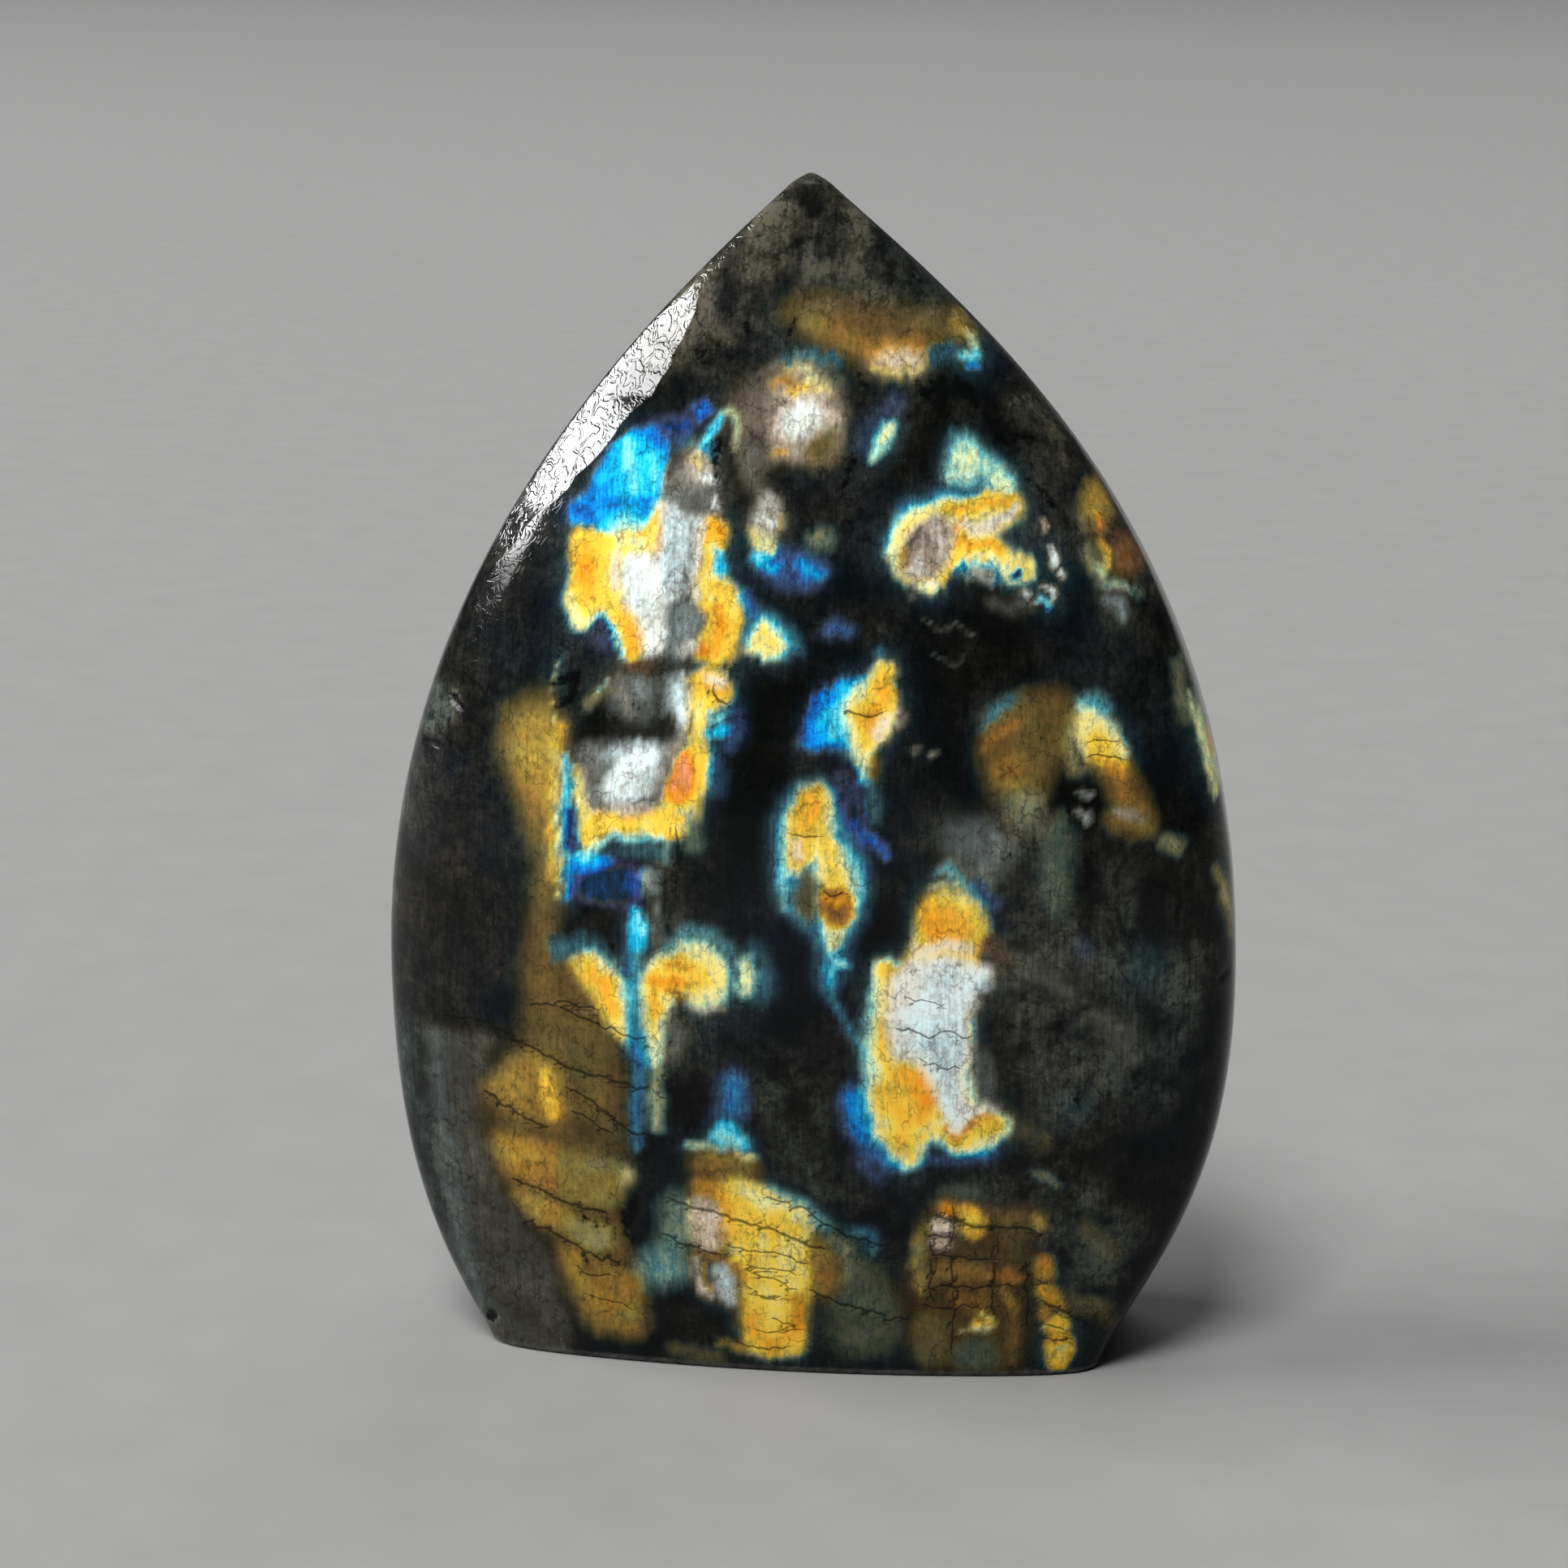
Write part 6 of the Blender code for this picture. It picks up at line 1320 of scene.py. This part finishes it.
def relief(points, sides):
    """How deep each point is cut in: the waves of hand polishing, a ripple on the shoulders, and pits."""
    waves, coarse, fine = [kind[0] + noise(points, *kind) for kind in (WAVES, *RIPPLES)]
    depth = SKIN + waves + (coarse + fine) * (FACE_RIPPLE + (1.0 - FACE_RIPPLE) * sides)
    x, y, z = points.T
    for *pit, pit_depth in PITS:
        depth += pit_depth * np.clip(in_pit(x, z, *pit), 0.0, 1.0) * (y < 0.0)
    return depth


def pattern_place(points):
    """Where in the pattern each point lies, as x and z, and whether it shows the front's."""
    y = points[:, 1]
    front = y < BACK_FROM
    drift = np.where(front, 1.0 + (BACK_DRIFT - 1.0) * eased(y, *DRIFT_GROWS), BACK_DRIFT)
    x = points[:, 0] + drift * noise(points, *DRIFT_ACROSS) + noise(points, *WOBBLE_ACROSS)
    z = points[:, 2] + drift * noise(points, *DRIFT_UP) + noise(points, *COMB_UP)
    behind = np.clip(y + SIDE_FROM + noise(points, *SIDE_WANDER), 0.0, None)
    x = x + np.sign(x) * SIDE_SHIFT * behind * front
    x = np.where(front, x, BACK_MIDDLE - BACK_WIDTH * x)
    z = np.where(front, z, BACK_TOP - BACK_HEIGHT * z)
    return x, z, front


def flash_fields(points, x, z, faces):
    """The fields of the flashes, which fade to a faint glimmer where faces is 0."""
    glimmer_heat = GLIMMER_HEAT + noise(points, *GLIMMER_HEATS)
    glimmer = GLIMMER_STRENGTH * smooth(GLIMMER_SPREAD + noise(points, *GLIMMERS))
    heat, strength = glimmer_heat.copy(), glimmer.copy()
    ring = smooth(RINGED_SPREAD + noise(points, *RINGED_PLACES))
    pale, cool = paint_flashes(x, z, heat, strength, ring)
    heat += (noise(points, *HEAT_LUMPS) + noise(points, *HEAT_SPECKS)) * eased(heat, *VARIED_HEAT)
    strength *= MEAN_STRENGTH + noise(points, *STRENGTH_LUMPS)
    return {
        "flash_heat": glimmer_heat + (heat - glimmer_heat) * faces,
        "flash_strength": glimmer + (strength - glimmer) * faces,
        "flash_pale": pale * faces,
        "flash_cool": cool,
    }


def grey_fields(points, x, z):
    paleness, warmth = paint(GREYS_AND_SHEEN, x, z, BARE_GREY)
    paleness += SIDE_GREY * np.exp(-(points[:, 1] / SIDE_GREY_DEPTH) ** 2)
    paleness *= np.clip(1.0 + noise(points, *GREY_CLOUDS) + noise(points, *GREY_LUMPS), *GREY_RANGE)
    return {"paleness": paleness, "warmth": warmth}


def black_field(points, x, z, faces):
    """How black the inclusions and the pits make the stone."""
    black = np.zeros(len(x))
    for spine in INCLUSIONS:
        depth = depth_in_streak(x, z, spine)
        black = np.maximum(black, faces * smooth(INCLUSION_OUTSIDE + depth / INCLUSION_EDGE))
    for *pit, _ in PITS:
        pit_black = smooth(2.0 * (PIT_DARK + in_pit(points[:, 0], points[:, 2], *pit)))
        black = np.maximum(black, pit_black * (points[:, 1] < 0.0))
    return black


def wear_fields(points, sides):
    """Where the polish shows its ripple, where it is worn, and where the stone is frosted."""
    x, y, z = points.T
    on_flat = eased(z, *FLAT_SHOWS_FROM) * (x < 0.0) * (y < 0.0)
    return {
        "shoulder": sides * (REST_SHOWS + (FLAT_SHOWS - REST_SHOWS) * on_flat),
        "worn": eased(z, *TIP_WORN) + eased(z, *BASE_WORN),
        "frosted": eased(z, *BASE_FROSTED),
    }


def stone_fields(points, sides):
    """The named fields over the points."""
    x, z, front = pattern_place(points)
    y = points[:, 1]
    ragged = noise(points, *RAGGED_FADE)
    faces = np.where(front, eased(y - ragged, *FRONT_FADE), eased(y + ragged, *BACK_FADE))
    across, near = crack_fields(x, z)
    return {
        **flash_fields(points, x, z, faces),
        **grey_fields(points, x, z),
        "black": black_field(points, x, z, faces),
        "crack_across": across,
        "crack_near": near * faces,
        **wear_fields(points, sides),
    }


def make_mesh(grid, fields):
    levels, count = grid.shape[:2]
    number = np.arange(levels * count).reshape(levels, count)
    following = np.roll(number, -1, axis=1)
    quads = np.stack([number[:-1], following[:-1], following[1:], number[1:]], axis=-1).reshape(-1, 4)
    faces = quads.tolist() + [number[0, ::-1].tolist(), number[-1].tolist()]
    mesh = bpy.data.meshes.new("spectrolite")
    mesh.from_pydata((grid.reshape(-1, 3) * MM).tolist(), [], faces)
    for name, values in fields.items():
        attribute = mesh.attributes.new(name, "FLOAT", "POINT")
        attribute.data.foreach_set("value", values.astype(np.float32))
    mesh.shade_smooth()
    return mesh


def make_stone():
    grid = stone_grid()
    normals = outward(grid)
    points = grid.reshape(-1, 3)
    sides = eased(np.abs(normals[..., 0]).ravel(), *SHOULDER_LEAN)
    body = (points[:, 2] > BASE_CHAMFER) & (points[:, 2] < HEIGHT - TIP_ROUNDING)
    depth = np.where(body, relief(points, sides), SKIN)
    inwards = normals.reshape(-1, 3) * np.array([1.0, 1.0, 0.0])
    cut = (points - inwards * depth[:, None]).reshape(grid.shape)
    stone = bpy.data.objects.new("spectrolite", make_mesh(cut, stone_fields(points, sides)))
    bpy.context.scene.collection.objects.link(stone)
    stone.data.materials.append(stone_material())
    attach(stone, "root")
    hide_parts(NODE)


class Nodes:
    """Short calls that add nodes to a material's tree and link them."""

    def __init__(self, material):
        material.use_nodes = True
        self.tree = material.node_tree
        self.surface = self.tree.nodes["Principled BSDF"]
        self.place = self.tree.nodes.new("ShaderNodeTexCoord").outputs["Object"]

    def add(self, kind, inputs, output=0, **settings):
        node = self.tree.nodes.new(kind)
        for name, value in settings.items():
            setattr(node, name, value)
        for socket, value in inputs.items():
            self.set(node.inputs[socket], value)
        return node.outputs[output]

    def set(self, socket, value):
        if isinstance(value, bpy.types.NodeSocket):
            self.tree.links.new(value, socket)
        else:
            socket.default_value = value

    def math(self, operation, *values):
        return self.add("ShaderNodeMath", dict(enumerate(values)), operation=operation)

    def times(self, first, second):
        return self.math("MULTIPLY", first, second)

    def sum(self, first, second):
        return self.math("ADD", first, second)

    def mix(self, share, first, second):
        return self.add("ShaderNodeMix", {0: share, 6: first, 7: second}, output=2, data_type="RGBA")

    def range(self, value, low, high, to_low=0.0, to_high=1.0):
        """0 to 1, or what is given, as the value goes from low to high. Low may be the higher of the two."""
        return self.add("ShaderNodeMapRange", {0: value, 1: low, 2: high, 3: to_low, 4: to_high})

    def attribute(self, name):
        return self.add("ShaderNodeAttribute", {}, output="Fac", attribute_name=name)

    def spread(self, size):
        """The place on the stone, in lumps of this size along each axis, in millimetres."""
        scale = [1.0 / (MM * part) for part in size]
        return self.add("ShaderNodeVectorMath", {0: self.place, 1: scale}, operation="MULTIPLY")

    def noise(self, size, detail, roughness, distortion):
        inputs = {"Vector": self.spread(size), "Scale": 1.0, "Detail": detail}
        inputs.update({"Roughness": roughness, "Distortion": distortion})
        return self.add("ShaderNodeTexNoise", inputs)

    def net(self, size, wobble, width):
        """1 on the lines between cells of this size and 0 off them. The lines wobble by this share of it."""
        inputs = {"Vector": self.spread(size), "Scale": WOBBLE_SCALE}
        shift = self.add("ShaderNodeTexNoise", inputs, output="Color")
        shift = self.add("ShaderNodeVectorMath", {0: shift, 3: wobble}, operation="SCALE")
        place = self.add("ShaderNodeVectorMath", {0: self.spread(size), 1: shift}, operation="ADD")
        inputs = {"Vector": place, "Scale": 1.0}
        edge = self.add("ShaderNodeTexVoronoi", inputs, output="Distance", feature="DISTANCE_TO_EDGE")
        return self.range(edge, *width, 1.0, 0.0)

    def ramp(self, value, stops):
        node = self.tree.nodes.new("ShaderNodeValToRGB")
        elements = node.color_ramp.elements
        while len(elements) < len(stops):
            elements.new(1.0)
        for element, (position, colour) in zip(elements, stops):
            element.position = position
            element.color = (*colour, 1.0)
        self.set(node.inputs[0], value)
        return node.outputs["Color"]

    def factored(self, value, factors, patterns):
        """The value times a range of each pattern."""
        for name, *ends in factors:
            value = self.times(value, self.range(patterns[name], *ends))
        return value


def stone_patterns(nodes):
    """The patterns that run through all of the stone, by name."""
    grain, fibres, flakes, ragged = [nodes.noise(*kind) for kind in (GRAIN, FIBRES, FLAKES, RAGGED)]
    ragged = nodes.range(ragged, *RAGGED_ENDS)
    black = nodes.sum(nodes.attribute("black"), nodes.times(ragged, BLACK_RAGGED))
    across = nodes.sum(nodes.attribute("crack_across"), nodes.times(ragged, CRACK_RAGGED))
    crack = nodes.range(nodes.math("ABSOLUTE", across), *CRACK_EDGE)
    return {
        "grain": grain,
        "fibres": fibres,
        "flakes": flakes,
        "black": nodes.range(black, *BLACK_EDGE),
        "crack": nodes.times(crack, nodes.range(nodes.attribute("crack_near"), *CRACK_NEAR)),
        "net": nodes.times(nodes.net(*HAIR_NET), nodes.range(grain, *HAIR_NET_IN_GRAIN)),
        "seams": nodes.times(nodes.net(*SEAMS), nodes.range(flakes, *SEAMS_IN_FLAKES)),
    }


def flash_colour(nodes, patterns, strength):
    """The colour of the flashes by their heat, pale where they are pale and dull where they are weak."""
    heat = nodes.sum(nodes.attribute("flash_heat"), nodes.range(patterns["grain"], *HEAT_BY_GRAIN))
    heat = nodes.sum(heat, nodes.range(patterns["fibres"], *HEAT_BY_FIBRES))
    cool = nodes.sum(nodes.attribute("flash_cool"), nodes.range(patterns["grain"], *COOL_BY_GRAIN))
    pale = nodes.mix(cool, PALE_WARM, PALE_COOL)
    flash = nodes.mix(nodes.attribute("flash_pale"), nodes.ramp(heat, FLASH_COLOURS), pale)
    return nodes.mix(nodes.range(strength, *DULL_BY_STRENGTH), flash, DULL_FLASH)


def broken_strength(nodes, patterns, strength):
    """How brightly the flashes shine, with flecks along their edges and the patterns in them."""
    half_way = nodes.times(nodes.times(strength, nodes.math("SUBTRACT", 1.0, strength)), strength)
    flecks = nodes.times(half_way, nodes.range(nodes.noise(*FLECKS), *EDGE_BY_FLECKS))
    return nodes.factored(nodes.sum(strength, flecks), STRENGTH_FACTORS, patterns)


def stone_colour(nodes, patterns):
    """The stone with its flashes, frosted where it stands."""
    strength = nodes.attribute("flash_strength")
    flash = flash_colour(nodes, patterns, strength)
    grey = nodes.factored(nodes.attribute("paleness"), GREY_FACTORS, patterns)
    tinted = nodes.mix(nodes.attribute("warmth"), STONE_COOL, STONE_WARM)
    stone = nodes.mix(grey, STONE_BLACK, tinted)
    colour = nodes.mix(broken_strength(nodes, patterns, strength), stone, flash)
    frost = nodes.times(nodes.attribute("frosted"), nodes.range(patterns["grain"], *FROST_BY_GRAIN))
    return nodes.mix(frost, colour, FROST)


def stone_roughness(nodes, patterns):
    roughness = nodes.range(nodes.noise(*POLISH), *ROUGHNESS_BY_POLISH)
    roughness = nodes.sum(roughness, nodes.times(patterns["black"], BLACK_ROUGHNESS))
    return nodes.sum(roughness, nodes.times(nodes.attribute("worn"), WORN_ROUGHNESS))


def stone_gloss(nodes):
    gloss = nodes.range(nodes.attribute("shoulder"), *GLOSS_BY_SHOULDER)
    return nodes.times(gloss, nodes.range(nodes.attribute("worn"), *GLOSS_BY_WEAR))


def stone_bump(nodes, patterns):
    """The ripple of the polish, strongest on the shoulders, and the edges of the cracks."""
    shoulder = nodes.attribute("shoulder")
    creases = nodes.math("ABSOLUTE", nodes.math("SUBTRACT", nodes.noise(*CREASES), 0.5))
    creases = nodes.times(nodes.range(creases, *CREASE_EDGE), nodes.range(shoulder, *CREASES_BY_SHOULDER))
    pebbles = nodes.times(nodes.noise(*PEBBLES), shoulder)
    height = nodes.sum(nodes.times(creases, CREASE_SHARE), nodes.times(pebbles, PEBBLE_SHARE))
    height = nodes.math("SUBTRACT", height, nodes.times(patterns["crack"], CRACK_SHARE))
    return nodes.add("ShaderNodeBump", {"Height": height, "Distance": BUMP_DEPTH * MM, "Strength": 1.0})


def stone_material():
    material = bpy.data.materials.new("spectrolite")
    nodes = Nodes(material)
    surface = nodes.surface.inputs
    patterns = stone_patterns(nodes)
    nodes.set(surface["Base Color"], stone_colour(nodes, patterns))
    nodes.set(surface["Roughness"], stone_roughness(nodes, patterns))
    nodes.set(surface["Specular IOR Level"], stone_gloss(nodes))
    nodes.set(surface["Normal"], stone_bump(nodes, patterns))
    surface["IOR"].default_value = STONE_IOR
    return material


def floor_material():
    material = bpy.data.materials.new("pale_floor")
    nodes = Nodes(material)
    tint = nodes.range(nodes.noise(*FLOOR_CLOUDS), *FLOOR_BY_CLOUDS)
    shade = nodes.add("ShaderNodeVectorMath", {0: FLOOR_COLOUR, 3: tint}, operation="SCALE")
    nodes.set(nodes.surface.inputs["Base Color"], shade)
    nodes.surface.inputs["Roughness"].default_value = FLOOR_ROUGHNESS
    return material


def make_floor():
    bpy.ops.mesh.primitive_plane_add(size=FLOOR_SIZE)
    floor = bpy.context.object
    floor.name = "floor"
    floor.data.materials.append(floor_material())


def add_light(name, azimuth, elevation, width, height, radiance):
    """A rectangular soft light, seen from the stone at this place, with this size in degrees."""
    turn, lift = math.radians(azimuth), math.radians(elevation)
    direction = Vector((math.sin(turn) * math.cos(lift), -math.cos(turn) * math.cos(lift), math.sin(lift)))
    lamp = bpy.data.lights.new(name, "AREA")
    lamp.shape = "RECTANGLE"
    lamp.size = 2.0 * LIGHT_DISTANCE * math.tan(math.radians(width / 2.0))
    lamp.size_y = 2.0 * LIGHT_DISTANCE * math.tan(math.radians(height / 2.0))
    lamp.energy = radiance * math.pi * lamp.size * lamp.size_y
    light = bpy.data.objects.new(name, lamp)
    light.location = Vector(AIM) + direction * LIGHT_DISTANCE
    light.rotation_euler = direction.to_track_quat("Z", "Y").to_euler()
    bpy.context.scene.collection.objects.link(light)


def make_lights():
    add_light("key", *KEY)
    add_light("fill", *FILL)
    add_light("back", *BACK_LIGHT)
    world = bpy.data.worlds.new("studio")
    world.use_nodes = True
    background = world.node_tree.nodes["Background"]
    background.inputs["Color"].default_value = WORLD_COLOUR
    background.inputs["Strength"].default_value = WORLD_STRENGTH
    bpy.context.scene.world = world
    bpy.context.scene.view_settings.view_transform = "Standard"


def make_camera():
    turn, lift = math.radians(CAMERA_AZIMUTH), math.radians(CAMERA_ELEVATION)
    right = Vector((math.cos(turn), math.sin(turn), 0.0))
    back = Vector((math.sin(turn) * math.cos(lift), -math.cos(turn) * math.cos(lift), math.sin(lift)))
    target = right * AIM_ACROSS + Vector((0.0, 0.0, AIM_UP))
    lens = bpy.data.cameras.new("camera")
    lens.angle = math.radians(CAMERA_ANGLE)
    lens.clip_start, lens.clip_end = CAMERA_CLIP
    camera = bpy.data.objects.new("camera", lens)
    camera.location = (target + back * CAMERA_DISTANCE) * MM
    camera.rotation_euler = (-back).to_track_quat("-Z", "Y").to_euler()
    bpy.context.scene.collection.objects.link(camera)
    bpy.context.scene.camera = camera


make_camera()
make_floor()
make_lights()
make_stone()
